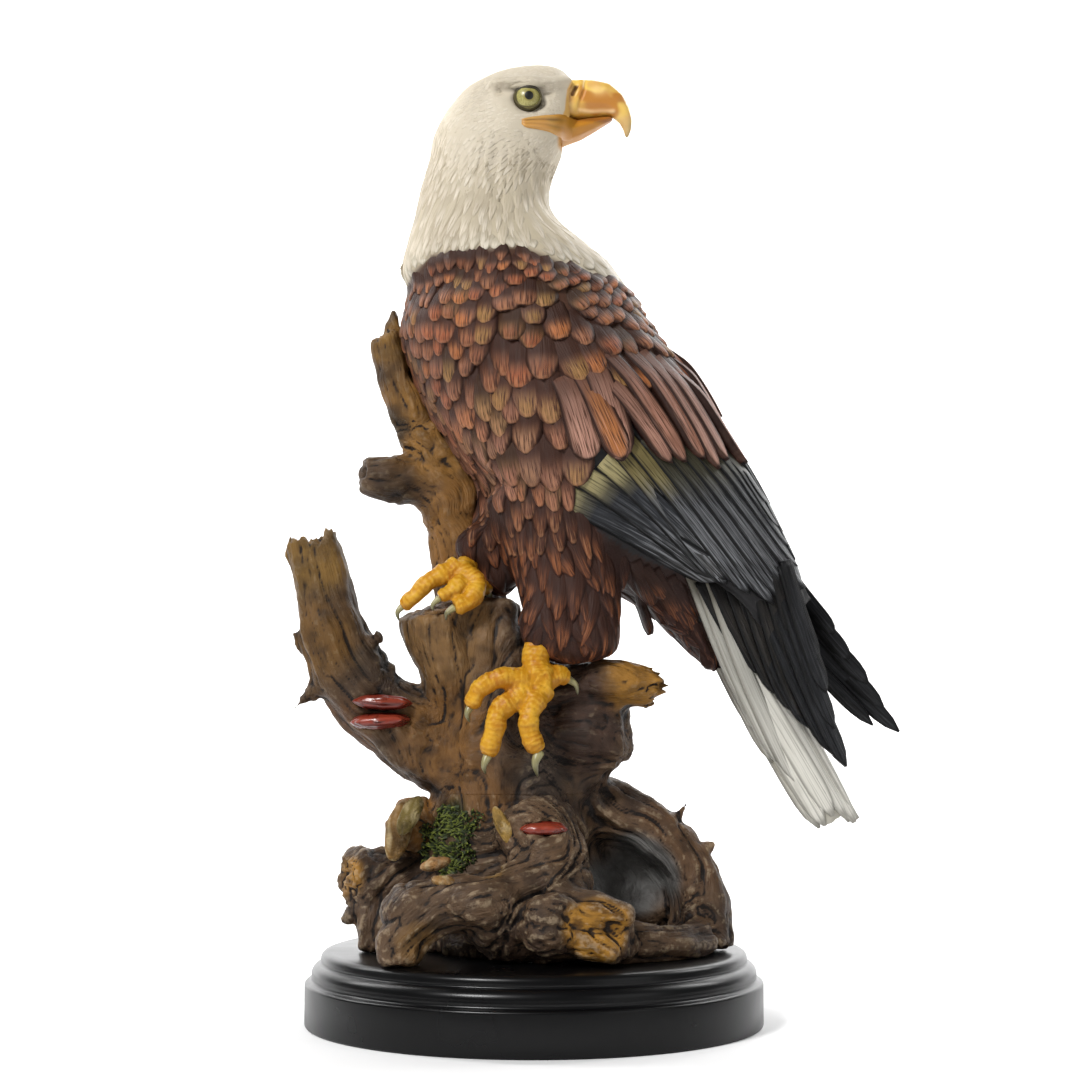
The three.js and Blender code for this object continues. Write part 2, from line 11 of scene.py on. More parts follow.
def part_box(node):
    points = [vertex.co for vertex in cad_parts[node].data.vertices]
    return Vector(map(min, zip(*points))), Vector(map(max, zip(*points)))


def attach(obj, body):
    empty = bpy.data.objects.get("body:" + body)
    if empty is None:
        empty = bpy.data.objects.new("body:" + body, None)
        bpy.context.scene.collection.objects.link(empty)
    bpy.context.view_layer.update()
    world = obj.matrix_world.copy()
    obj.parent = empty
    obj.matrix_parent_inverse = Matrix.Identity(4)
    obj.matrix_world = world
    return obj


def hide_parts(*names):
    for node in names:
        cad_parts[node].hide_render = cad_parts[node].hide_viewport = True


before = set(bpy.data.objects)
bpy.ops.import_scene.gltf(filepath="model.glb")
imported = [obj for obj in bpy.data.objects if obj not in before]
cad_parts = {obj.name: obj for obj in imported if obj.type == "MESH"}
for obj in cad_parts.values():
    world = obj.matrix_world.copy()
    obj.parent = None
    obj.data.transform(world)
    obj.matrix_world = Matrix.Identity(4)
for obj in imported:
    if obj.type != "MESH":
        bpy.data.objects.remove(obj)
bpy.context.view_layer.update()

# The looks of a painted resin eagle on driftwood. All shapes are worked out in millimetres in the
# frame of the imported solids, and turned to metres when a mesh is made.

MM = 0.001


# ------------------------------------------------------------------ numbers

def unit(v):
    v = np.asarray(v, float)
    return v / np.maximum(np.linalg.norm(v, axis=-1, keepdims=True), 1e-12)


def smoothstep(low, high, x):
    t = np.clip((x - low) / (high - low), 0, 1)
    return t * t * (3 - 2 * t)


def mixed(a, b, t):
    """a where t is 0 and b where it is 1, for rows of colours or points."""
    t = np.asarray(t, float)[..., None]
    return (1 - t) * np.asarray(a, float) + t * np.asarray(b, float)


def srgb(red, green, blue):
    """A colour as seen, 0 to 255, as the linear colour that shaders use."""
    c = np.array([red, green, blue]) / 255
    return np.where(c < 0.04045, c / 12.92, ((c + 0.055) / 1.055) ** 2.4)


def rgba(colour):
    return (*map(float, colour), 1.0)


LATTICE = 64


def lattice_noise(points, seed):
    """Smooth noise from -1 to 1 at points, whose unit is one cell."""
    table = np.random.default_rng(seed).uniform(-1, 1, (LATTICE,) * 3)
    base = np.floor(points).astype(int)
    f = points - base
    f = f * f * (3 - 2 * f)
    total = np.zeros(len(points))
    for corner in np.ndindex(2, 2, 2):
        weight = np.prod(np.where(corner, f, 1 - f), axis=1)
        i, j, k = ((base + corner) % LATTICE).T
        total += weight * table[i, j, k]
    return total


def layered_noise(points, size, seed, layers=3):
    """Noise whose largest lumps are size millimetres across."""
    total = np.zeros(len(points))
    for k in range(layers):
        total += lattice_noise(points / size * 2.03**k, seed + k) * 0.5**k
    return total / 1.5


def polyline_hit(points, line):
    """For each point, the nearest place on a polyline: distance, run along it, and that place."""
    line = np.asarray(line, float)
    best = np.full(len(points), 1e9)
    run = np.zeros(len(points))
    at = np.zeros_like(points)
    start = 0.0
    for a, b in zip(line[:-1], line[1:]):
        length = np.linalg.norm(b - a)
        t = np.clip((points - a) @ (b - a) / length**2, 0, 1)
        place = a + t[:, None] * (b - a)
        gap = np.linalg.norm(points - place, axis=1)
        near = gap < best
        best[near] = gap[near]
        run[near] = start + t[near] * length
        at[near] = place[near]
        start += length
    return best, run, at


# ------------------------------------------------------------------ surfaces

class Surface:
    """A mesh held as arrays, in millimetres."""

    def __init__(self, points, faces):
        self.points = points
        self.faces = faces
        self.edges = None

    def mesh(self, name):
        made = bpy.data.meshes.new(name)
        made.from_pydata((self.points * MM).tolist(), [], self.faces)
        return made

    def refresh(self):
        made = self.mesh("scratch")
        edges = np.empty(len(made.edges) * 2, int)
        made.edges.foreach_get("vertices", edges)
        self.edges = edges.reshape(-1, 2)
        bpy.data.meshes.remove(made)

    def normals(self):
        made = self.mesh("scratch")
        out = np.empty(len(made.vertices) * 3, np.float32)
        made.vertices.foreach_get("normal", out)
        bpy.data.meshes.remove(made)
        return out.reshape(-1, 3).astype(float)

    def mean_of_neighbours(self, values):
        if self.edges is None:
            self.refresh()
        a, b = self.edges.T
        total = np.zeros_like(values)
        np.add.at(total, a, values[b])
        np.add.at(total, b, values[a])
        count = np.bincount(self.edges.ravel(), minlength=len(values))
        return total / np.maximum(count, 1)[:, None]

    def smooth(self, rounds, amount=0.5, mask=1.0):
        mask = np.broadcast_to(mask, len(self.points))[:, None]
        for _ in range(rounds):
            self.points = self.points + amount * mask * (self.mean_of_neighbours(self.points) - self.points)

    def push(self, distance):
        self.points = self.points + self.normals() * np.broadcast_to(distance, len(self.points))[:, None]

    def hollowness(self, rounds=2):
        """How far each point lies below its neighbours, in millimetres: grooves above 0, ridges below."""
        normal = self.normals()
        blurred = self.points
        for _ in range(rounds):
            blurred = self.mean_of_neighbours(blurred)
        return ((blurred - self.points) * normal).sum(1)

    def tree(self):
        return BVHTree.FromPolygons(self.points.tolist(), self.faces)


def surface_of(mesh, scale=1 / MM):
    points = np.empty(len(mesh.vertices) * 3, np.float32)
    mesh.vertices.foreach_get("co", points)
    faces = [tuple(p.vertices) for p in mesh.polygons]
    return Surface(points.reshape(-1, 3).astype(float) * scale, faces)


def merged_solid(nodes, grow=0.0):
    """The solids of some nodes in one mesh, each swollen so that they run into each other."""
    bm = bmesh.new()
    for name in nodes:
        bm.from_mesh(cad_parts[name].data)
    bmesh.ops.remove_doubles(bm, verts=bm.verts, dist=1e-6)
    bm.normal_update()
    for v in bm.verts:
        v.co += v.normal * grow * MM
    mesh = bpy.data.meshes.new("scratch")
    bm.to_mesh(mesh)
    bm.free()
    return mesh


def even_copy(ob, voxel, knives=()):
    """A scratch object's shape as one closed, even surface, with any knives' shapes cut out of it."""
    link = bpy.context.scene.collection.objects.link
    link(ob)
    for step in ("even", "cut", "even_again") if knives else ("even",):
        if step == "cut":
            for knife in knives:
                link(knife)
                modifier = ob.modifiers.new(knife.name, "BOOLEAN")
                modifier.operation = "DIFFERENCE"
                modifier.object = knife
            continue
        modifier = ob.modifiers.new(step, "REMESH")
        modifier.mode = "VOXEL"
        modifier.voxel_size = voxel * MM
    evaluated = ob.evaluated_get(bpy.context.evaluated_depsgraph_get())
    mesh = bpy.data.meshes.new_from_object(evaluated)
    surface = surface_of(mesh)
    for scratch in (ob, *knives):
        bpy.data.objects.remove(scratch)
    bpy.data.meshes.remove(mesh)
    return surface


def swollen_copy(nodes, swellings, grow, voxel, knives=()):
    """One closed, even surface round the solids of some nodes and some eggs added to them."""
    bm = bmesh.new()
    bm.from_mesh(merged_solid(nodes, grow))
    for swelling in swellings:
        bm.from_mesh(egg(*swelling).mesh("swelling"))
    mesh = bpy.data.meshes.new("scratch")
    bm.to_mesh(mesh)
    bm.free()
    return even_copy(bpy.data.objects.new("scratch", mesh), voxel, knives)


def remeshed(nodes, voxel, grow=0.5):
    """One closed, even surface round the solids of some nodes."""
    return even_copy(bpy.data.objects.new("scratch", merged_solid(nodes, grow)), voxel)


def refined(surface, wanted, rounds=1):
    """Splits the faces whose centre wanted() keeps, each into four."""
    for _ in range(rounds):
        bm = bmesh.new()
        bm.from_mesh(surface.mesh("scratch"))
        centres = np.array([f.calc_center_median() for f in bm.faces]) / MM
        keep = wanted(centres)
        edges = {e for f, k in zip(bm.faces, keep) if k for e in f.edges}
        bmesh.ops.subdivide_edges(bm, edges=list(edges), cuts=1, use_grid_fill=True)
        mesh = bpy.data.meshes.new("scratch")
        bm.to_mesh(mesh)
        bm.free()
        surface = surface_of(mesh)
        bpy.data.meshes.remove(mesh)
    return surface


def centreline(node, count=7):
    """Points down the middle of a long solid, and its mean radius at each."""
    points = surface_of(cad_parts[node].data).points
    points = np.unique(np.round(points, 3), axis=0)
    middle = points.mean(0)
    axis = np.linalg.svd(points - middle, full_matrices=False)[2][0]
    run = (points - middle) @ axis
    edges = np.linspace(run.min(), run.max(), count + 1)
    line, radii = [], []
    for low, high in zip(edges[:-1], edges[1:]):
        inside = (run >= low - 1e-6) & (run <= high + 1e-6)
        if inside.sum() < 3:
            continue
        here = points[inside]
        centre = (here.min(0) + here.max(0)) / 2
        line.append(centre)
        radii.append(np.linalg.norm(here - centre, axis=1).mean())
    line = np.array(line)
    if line[0, 2] < line[-1, 2]:
        line, radii = line[::-1], radii[::-1]
    return line, np.array(radii)


def finish_piece(name, surface, material, replaces=(), attributes=None, bake=None):
    """Makes an object of a surface, with its attributes, and sets it in the frame."""
    mesh = surface.mesh(name)
    mesh.polygons.foreach_set("use_smooth", np.ones(len(mesh.polygons), bool))
    for key, values in (attributes or {}).items():
        values = np.asarray(values, np.float32)
        if values.ndim == 1:
            mesh.attributes.new(key, "FLOAT", "POINT").data.foreach_set("value", values)
        elif values.shape[1] == 4:
            mesh.attributes.new(key, "FLOAT_COLOR", "POINT").data.foreach_set("color", values.ravel())
        else:
            mesh.attributes.new(key, "FLOAT_VECTOR", "POINT").data.foreach_set("vector", values.ravel())
    if bake is not None:
        corners = np.empty(len(mesh.loops), int)
        mesh.loops.foreach_get("vertex_index", corners)
        layer = mesh.uv_layers.new(name="OFBake")
        layer.uv.foreach_set("vector", bake[corners].astype(np.float32).ravel())
    mesh.update()
    mesh.materials.append(material)
    ob = bpy.data.objects.new(name, mesh)
    bpy.context.scene.collection.objects.link(ob)
    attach(ob, "root")
    if replaces:
        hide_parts(*replaces)
    return ob


def with_alpha(colours):
    return np.concatenate([colours, np.ones((len(colours), 1))], axis=1)


# ------------------------------------------------------------------ shader nodes

def node(tree, kind, inputs=None, **settings):
    made = tree.nodes.new(kind)
    for key, value in settings.items():
        setattr(made, key, value)
    for key, value in (inputs or {}).items():
        if isinstance(value, bpy.types.NodeSocket):
            tree.links.new(value, made.inputs[key])
        else:
            made.inputs[key].default_value = value
    return made


def calc(tree, operation, *values, clamp=False):
    return node(
        tree, "ShaderNodeMath", dict(enumerate(values)), operation=operation, use_clamp=clamp,
    ).outputs[0]


def masked(tree, value, low, high):
    """0 where value is under low and 1 where it is over high, or the other way round."""
    inputs = {"Value": value, "From Min": low, "From Max": high, "To Min": 0.0, "To Max": 1.0}
    return node(tree, "ShaderNodeMapRange", inputs, interpolation_type="SMOOTHSTEP").outputs[0]


def blended(tree, factor, a, b, how="MIX"):
    inputs = {0: factor, 6: a, 7: b}
    return node(tree, "ShaderNodeMix", inputs, data_type="RGBA", blend_type=how).outputs[2]


def attribute(tree, name, output="Color"):
    return node(tree, "ShaderNodeAttribute", attribute_name=name).outputs[output]


def object_place(tree):
    return node(tree, "ShaderNodeTexCoord").outputs["Object"]


def split(tree, vector):
    return node(tree, "ShaderNodeSeparateXYZ", {0: vector}).outputs


def joined(tree, x, y, z):
    return node(tree, "ShaderNodeCombineXYZ", {0: x, 1: y, 2: z}).outputs[0]


def noise(tree, vector, scale, detail=3.0, roughness=0.55):
    inputs = {"Vector": vector, "Scale": scale, "Detail": detail, "Roughness": roughness}
    return node(tree, "ShaderNodeTexNoise", inputs).outputs[0]


def shader_group(name, inputs, outputs, build):
    """A node group. inputs and outputs are {name: kind or (kind, value)}, and build returns its outputs."""
    tree = bpy.data.node_groups.new(name, "ShaderNodeTree")
    for key, spec in inputs.items():
        kind, value = spec if isinstance(spec, tuple) else (spec, None)
        socket = tree.interface.new_socket(key, in_out="INPUT", socket_type="NodeSocket" + kind)
        if value is not None:
            socket.default_value = value
    for key, kind in outputs.items():
        tree.interface.new_socket(key, in_out="OUTPUT", socket_type="NodeSocket" + kind)
    entry = tree.nodes.new("NodeGroupInput")
    leave = tree.nodes.new("NodeGroupOutput")
    for key, socket in build(tree, entry.outputs).items():
        tree.links.new(socket, leave.inputs[key])
    return tree


def use(tree, group, inputs):
    made = node(tree, "ShaderNodeGroup", node_tree=group)
    for key, value in inputs.items():
        if isinstance(value, bpy.types.NodeSocket):
            tree.links.new(value, made.inputs[key])
        else:
            made.inputs[key].default_value = value
    return made.outputs


def carved_vane(tree, given):
    """Streaks and barbs down a carved feather, a paler middle, dark paint along its edges and over its root
    that is also painted shade where the feathers above overlap them, and pale dry-brushed paint near the tip
    that is also a painted highlight.
    """
    across, along, luck = split(tree, given["Vane"])
    wide, long, _ = split(tree, given["Run"])
    side = calc(tree, "ABSOLUTE", across)
    streak_place = joined(
        tree, calc(tree, "MULTIPLY", wide, 1.5), calc(tree, "MULTIPLY", long, given["Streak pitch"]), luck,
    )
    streak = noise(tree, streak_place, 1.0, 2.0)
    slant = calc(tree, "SUBTRACT", long, calc(tree, "MULTIPLY", calc(tree, "ABSOLUTE", wide), 1.1))
    barb = calc(tree, "SINE", calc(tree, "MULTIPLY", slant, given["Barbs"]))
    start = given["Start"]
    middle = masked(tree, along, start, calc(tree, "ADD", start, 0.35))
    middle = calc(tree, "MULTIPLY", masked(tree, side, 0.95, 0.35), middle)
    patch = calc(tree, "MULTIPLY", middle, masked(tree, streak, 0.3, 0.55), clamp=True)
    body = blended(tree, patch, given["Margin"], given["Centre"])
    dark = calc(tree, "MULTIPLY", masked(tree, streak, 0.5, 0.34), given["Streaks"])
    # Dark paint along the sides and over the end of the tip: partly wash, partly painted shade between the
    # feathers and under the tip.
    rim = calc(tree, "MULTIPLY", masked(tree, side, 0.66, 0.94), masked(tree, along, 1.2, 0.8))
    rim = calc(tree, "MULTIPLY", calc(tree, "MAXIMUM", rim, masked(tree, along, 0.95, 0.985)), given["Edge"])
    # Painted shade over the root, where the feathers above overlap it.
    root = calc(tree, "MULTIPLY", masked(tree, along, 0.76, 0.42), given["Root"])
    shade = calc(tree, "MAXIMUM", calc(tree, "MAXIMUM", dark, rim), root)
    washed_and_shaded = blended(tree, shade, body, given["Wash and shade"])
    # Pale dry-brushed paint towards the tip, which is also a painted highlight.
    tip = calc(tree, "MULTIPLY", masked(tree, streak, 0.5, 0.68), masked(tree, along, start, 0.97))
    lit = calc(tree, "MAXIMUM", tip, calc(tree, "MULTIPLY", masked(tree, along, 0.88, 0.94), given["Tip"]))
    lit = calc(tree, "MULTIPLY", lit, masked(tree, along, 0.99, 0.955))
    lit = calc(tree, "MULTIPLY", calc(tree, "MULTIPLY", lit, given["Light"]), masked(tree, side, 1.05, 0.7))
    colour = blended(tree, lit, washed_and_shaded, given["Dry brush highlight"])
    shaft = masked(tree, side, 0.1, 0.0)
    height = calc(tree, "ADD", calc(tree, "MULTIPLY", streak, 1.2), calc(tree, "MULTIPLY", barb, 0.12))
    height = calc(tree, "ADD", height, calc(tree, "MULTIPLY", shaft, 0.25))
    return {"Colour": colour, "Height": height, "Streak": streak}


CARVED_VANE = shader_group(
    "Carved vane",
    {
        "Centre": "Color", "Margin": "Color", "Wash and shade": "Color", "Dry brush highlight": "Color",
        "Vane": "Vector", "Run": "Vector", "Barbs": ("Float", 7.0), "Streaks": ("Float", 0.6),
        "Edge": ("Float", 0.8), "Light": ("Float", 0.5), "Root": ("Float", 0.0),
        "Streak pitch": ("Float", 0.13), "Tip": ("Float", 0.0), "Start": ("Float", 0.45),
    },
    {"Colour": "Color", "Height": "Float", "Streak": "Float"},
    carved_vane,
)


def recess_wash(tree, given):
    """Dark paint in the grooves, which is also painted shade there, and pale paint dry-brushed over the
    ridges, which is also a painted highlight.
    """
    place = object_place(tree)
    patchy = noise(tree, place, 420.0, 3.0)
    deep = calc(
        tree, "MULTIPLY", masked(tree, given["Hollow"], 0.0, given["Reach"]), given["Amount"], clamp=True,
    )
    high = calc(tree, "MULTIPLY", given["Hollow"], -1.0)
    ridge = calc(tree, "MULTIPLY", masked(tree, high, 0.1, given["Reach"]), masked(tree, patchy, 0.4, 0.62))
    ridge = calc(tree, "MULTIPLY", ridge, given["Brush amount"], clamp=True)
    washed_and_shaded = blended(tree, deep, given["Colour"], given["Wash and shade"])
    return {"Colour": blended(tree, ridge, washed_and_shaded, given["Brush"]), "Ridge": ridge}


RECESS_WASH_AND_SHADE = shader_group(
    "Recess wash",
    {
        "Colour": "Color", "Wash and shade": "Color", "Brush": "Color", "Hollow": "Float",
        "Reach": ("Float", 0.2), "Amount": ("Float", 0.8), "Brush amount": ("Float", 0.5),
    },
    {"Colour": "Color", "Ridge": "Float"},
    recess_wash,
)


def brush_marks(tree, given):
    """The faint unevenness of hand-laid paint: a mottle, fine grain and a change of gloss."""
    place = object_place(tree)
    broad = noise(tree, place, given["Scale"], 3.0)
    fine = noise(tree, place, 1800.0, 2.0)
    dark = calc(tree, "MULTIPLY", masked(tree, broad, 0.55, 0.3), given["Amount"])
    colour = blended(tree, dark, given["Colour"], given["Shade"])
    rough = calc(
        tree, "ADD", given["Roughness"], calc(tree, "MULTIPLY", calc(tree, "SUBTRACT", broad, 0.5), 0.25),
    )
    return {"Colour": colour, "Roughness": rough, "Height": calc(tree, "MULTIPLY", fine, 0.2)}


BRUSH_MARKS = shader_group(
    "Brush marks",
    {
        "Colour": "Color", "Shade": "Color", "Scale": ("Float", 90.0), "Amount": ("Float", 0.5),
        "Roughness": ("Float", 0.5),
    },
    {"Colour": "Color", "Roughness": "Float", "Height": "Float"},
    brush_marks,
)


def material(name, build, **constants):
    """A material whose Principled shader takes its constants on its own sockets and the rest from build."""
    made = bpy.data.materials.new(name)
    made.use_nodes = True
    tree = made.node_tree
    shader = tree.nodes["Principled BSDF"]
    for key, value in constants.items():
        shader.inputs[key.replace("_", " ")].default_value = value
    for key, socket in build(tree).items():
        if key == "Height":
            height, depth = socket
            bump = node(tree, "ShaderNodeBump", {"Height": height, "Distance": depth * MM, "Strength": 1.0})
            tree.links.new(bump.outputs[0], shader.inputs["Normal"])
        else:
            tree.links.new(socket, shader.inputs[key])
    return made


SATIN = 0.22  # the gloss of thin paint over resin


def plumage_material(name, wash_and_shade, dry_brush_highlight, roughness, depth=0.35, **strengths):
    def build(tree):
        paint = use(tree, CARVED_VANE, {
            "Centre": attribute(tree, "centre"), "Margin": attribute(tree, "margin"),
            "Wash and shade": rgba(wash_and_shade), "Dry brush highlight": rgba(dry_brush_highlight),
            "Vane": attribute(tree, "vane", "Vector"), "Run": attribute(tree, "run", "Vector"),
            **strengths,
        })
        marks = use(tree, BRUSH_MARKS, {
            "Colour": paint["Colour"], "Shade": rgba(wash_and_shade), "Scale": 45.0, "Amount": 0.3,
            "Roughness": roughness,
        })
        return {
            "Base Color": marks["Colour"], "Roughness": marks["Roughness"],
            "Height": (paint["Height"], depth),
        }
    return material(name, build, Specular_IOR_Level=SATIN)


# The dark paint of the brown feathers' streaks, which is also their painted shade along the edges and roots.
INK_AND_SHADE = srgb(44, 24, 17)
BROWN_PLUMAGE = plumage_material(
    "brown_plumage_paint", INK_AND_SHADE, srgb(190, 138, 98), 0.5, Streaks=0.7, Edge=0.95, Light=0.45, Root=0.85,
    Tip=0.5,
)
SHOULDER_PLUMAGE = plumage_material(
    "shoulder_plumage_paint", INK_AND_SHADE, srgb(200, 156, 134), 0.5, Streaks=0.7, Edge=1.0, Light=0.5, Root=0.3,
    Tip=0.2,
    Start=0.08, **{"Streak pitch": 0.07},
)
DOWN_PLUMAGE = plumage_material(
    "down_plumage_paint", INK_AND_SHADE, srgb(172, 106, 64), 0.5, Streaks=0.7, Edge=0.8, Light=0.4, Root=0.6, Tip=0.1,
)
WHITE_PLUMAGE = plumage_material(
    "white_plumage_paint", srgb(140, 126, 104), srgb(232, 226, 210), 0.55, 0.12, Streaks=0.26, Edge=0.12,
    Light=0.1,
)
FACE_PLUMAGE = plumage_material(
    "face_plumage_paint", srgb(140, 126, 104), srgb(232, 226, 210), 0.55, 0.04, Streaks=0.12, Edge=0.05,
    Light=0.05,
)
SLATE_PLUMAGE = plumage_material(
    "slate_plumage_paint", srgb(8, 8, 10), srgb(146, 148, 152), 0.42, Streaks=0.7, Edge=1.0, Light=0.8,
    Start=0.1,
    **{"Streak pitch": 0.06},
)
COAL_PLUMAGE = plumage_material(
    "coal_plumage_paint", srgb(8, 8, 9), srgb(66, 67, 70), 0.42, Streaks=0.6, Edge=0.9, Light=0.4, Start=0.1,
    **{"Streak pitch": 0.06},
)
TAIL_PLUMAGE = plumage_material(
    "tail_plumage_paint", srgb(120, 116, 106), srgb(236, 234, 226), 0.5, 0.3, Streaks=0.42, Edge=0.55,
    Light=0.4,
    **{"Streak pitch": 0.025},
)


# ------------------------------------------------------------------ the lie of the plumage

# Places on the bird, as [x, distance from the middle, height], with the way that the feathers there
# point, as [x, height], and their length, width, lift at the tip and sharpness, from 0 to 1.
LIE = [
    ((16, 6, 412), (-1.0, 0.25), (3.75, 1.3, 0.11, 0.5)),
    ((12, 9, 402), (-1.0, 0.0), (3.5, 1.2, 0.11, 0.5)),
    ((4, 10, 421), (-1.0, 0.1), (4.5, 1.6, 0.14, 0.5)),
    ((-12, 8, 422), (-1.0, -0.05), (6.25, 1.8, 0.17, 0.5)),
    ((-30, 8, 416), (-0.85, -0.5), (8.75, 2, 0.19, 0.5)),
    ((-42, 8, 402), (-0.45, -0.9), (13.75, 2.4, 0.25, 0.5)),
    ((-47, 10, 382), (-0.2, -1.0), (18.75, 2.8, 0.33, 0.5)),
    ((-55, 12, 352), (-0.12, -1.0), (24.7, 4.9, 0.28, 0.8)),
    ((-8, 23, 392), (-0.9, -0.35), (5.62, 1.6, 0.14, 0.5)),
    ((-25, 22, 402), (-0.9, -0.35), (6.88, 1.8, 0.17, 0.5)),
    ((6, 13, 386), (-0.8, -0.5), (4.38, 1.5, 0.14, 0.5)),
    ((11, 4, 378), (-0.5, -0.8), (6.25, 1.8, 0.17, 0.5)),
    ((-10, 24, 378), (-0.7, -0.6), (12.5, 2.2, 0.22, 0.5)),
    ((-30, 25, 380), (-0.5, -0.85), (15, 2.4, 0.25, 0.5)),
    ((8, 8, 365), (-0.1, -1.0), (14.3, 3.8, 0.2, 0.8)),
    ((-8, 27, 362), (-0.25, -1.0), (22.1, 4.6, 0.25, 0.8)),
    ((-32, 28, 360), (-0.3, -1.0), (24.7, 4.9, 0.28, 0.8)),
    ((12, 22, 350), (0.45, -0.9), (23.4, 5.2, 0.5, 0.8)),
    ((26, 10, 340), (0.75, -0.7), (24.7, 5.8, 0.9, 0.7)),
    ((5, 36, 342), (0.18, -1.0), (26, 5.8, 0.9, 0.7)),
    ((-28, 38, 342), (-0.08, -1.0), (27.3, 5.8, 0.9, 0.7)),
    ((-52, 18, 330), (-0.1, -1.0), (24.7, 6.4, 0.9, 0.7)),
    ((28, 12, 330), (0.8, -0.6), (15, 9, 1.6, 0.2)),
    ((-62, 8, 300), (0.05, -1.0), (17, 8.5, 1.5, 0.15)),
    ((-50, 28, 300), (-0.12, -1.0), (19, 9.5, 1.7, 0.1)),
    ((-30, 44, 312), (-0.1, -1.0), (19, 10.5, 2, 0.05)),
    ((-5, 48, 314), (0.05, -1.0), (19, 11, 2.1, 0.05)),
    ((20, 40, 312), (0.55, -0.8), (19, 10.5, 2, 0.15)),
    ((36, 20, 312), (0.85, -0.5), (19, 9, 1.8, 0.3)),
    ((-35, 44, 285), (-0.05, -1.0), (23, 10.5, 2.1, 0.15)),
    ((-5, 52, 290), (0.02, -1.0), (24, 11.5, 2.3, 0.15)),
    ((20, 50, 290), (0.35, -0.95), (25, 11.5, 2.3, 0.25)),
    ((45, 38, 285), (0.65, -0.75), (27, 9.5, 2.1, 0.45)),
    ((60, 15, 275), (0.68, -0.72), (27, 8.5, 1.9, 0.5)),
    ((-40, 38, 260), (0.1, -1.0), (24, 9.5, 1.8, 0.3)),
    ((-12, 50, 262), (0.02, -1.0), (26, 12, 2.1, 0.35)),
    ((12, 53, 262), (0.2, -1.0), (28, 12.5, 2.2, 0.4)),
    ((38, 50, 262), (0.5, -0.87), (33, 8.5, 2.1, 0.7)),
    ((62, 40, 252), (0.62, -0.78), (34, 7.6, 2, 0.75)),
    ((80, 14, 250), (0.62, -0.78), (26, 8, 0.6, 0.5)),
    ((92, 6, 226), (0.64, -0.77), (24, 8, 0.3, 0.5)),
    ((-38, 20, 240), (0.35, -0.95), (20, 7, 1.5, 0.5)),
    ((-22, 40, 235), (0.15, -1.0), (22, 7, 1.6, 0.5)),
    ((5, 45, 236), (0.1, -1.0), (23, 8, 1.7, 0.5)),
    ((-10, 25, 205), (0.05, -1.0), (21, 6.5, 1.1, 0.85)),
    ((12, 44, 212), (0.1, -1.0), (24, 7.6, 1.1, 0.82)),
    ((30, 38, 200), (0.3, -0.95), (24, 7, 1.1, 0.82)),
    ((20, 42, 175), (0.05, -1.0), (20, 5.8, 1.1, 0.85)),
    ((3, 35, 172), (-0.05, -1.0), (20, 5.8, 1.1, 0.85)),
    ((36, 25, 170), (0.1, -1.0), (20, 5.8, 1.0, 0.85)),
    ((42, 18, 205), (0.45, -0.9), (24, 6.6, 1.2, 0.9)),
    ((60, 12, 180), (0.5, -0.87), (26, 7.4, 1.2, 0.9)),
    ((76, 6, 158), (0.52, -0.86), (27, 7, 1, 0.9)),
]
LIE_AT = np.array([row[0] for row in LIE], float)
LIE_WAY = unit([(row[1][0], 0, row[1][1]) for row in LIE])
LIE_SIZE = np.array([row[2] for row in LIE], float)
PITCH = 0.4  # of a feather's length, from one row to the next
PACKING = 0.7  # of a feather's width, from one feather to its neighbour


def lie_of(points, normals):
    """The heading of the feathers at some places on the skin, and their length, width, lift and sharpness."""
    folded = np.stack([points[:, 0], np.abs(points[:, 1]), points[:, 2]], axis=1)
    weight = 1 / (((folded[:, None] - LIE_AT[None]) ** 2).sum(2) + 12) ** 2.2
    weight /= weight.sum(1, keepdims=True)
    way = weight @ LIE_WAY
    way -= (way * normals).sum(1, keepdims=True) * normals
    size = weight @ LIE_SIZE
    under = above_hem(points)
    size[:, 0] *= 1 - 0.55 * smoothstep(-26, 2, under) * (under < 6.3)
    return unit(way), size


# The height of the white hood's hem along the bird, from breast to mantle.
HEM_X = [-62, -59, -44, -6, 13, 28, 40]
HEM_Z = [318, 320.7, 331.5, 333.6, 326, 322, 320]


def hem_height(points):
    return np.interp(points[:, 0], HEM_X, HEM_Z)


IVORY = srgb(207, 195, 174)
RUSTS = [srgb(164, 98, 54), srgb(146, 80, 50), srgb(140, 90, 64), srgb(132, 80, 54), srgb(142, 106, 60)]
BARKS = [srgb(106, 70, 54), srgb(118, 84, 70), srgb(96, 62, 46), srgb(104, 78, 52), srgb(88, 56, 42)]
MAUVE = srgb(172, 128, 110)
MAROON = srgb(70, 40, 28)
VENT = srgb(44, 26, 22)
MANDIBLE = srgb(178, 122, 26)
# Painted shade: the dark of the skin seen in the gaps between the feathers.
RECESS_SHADE = srgb(44, 26, 21)


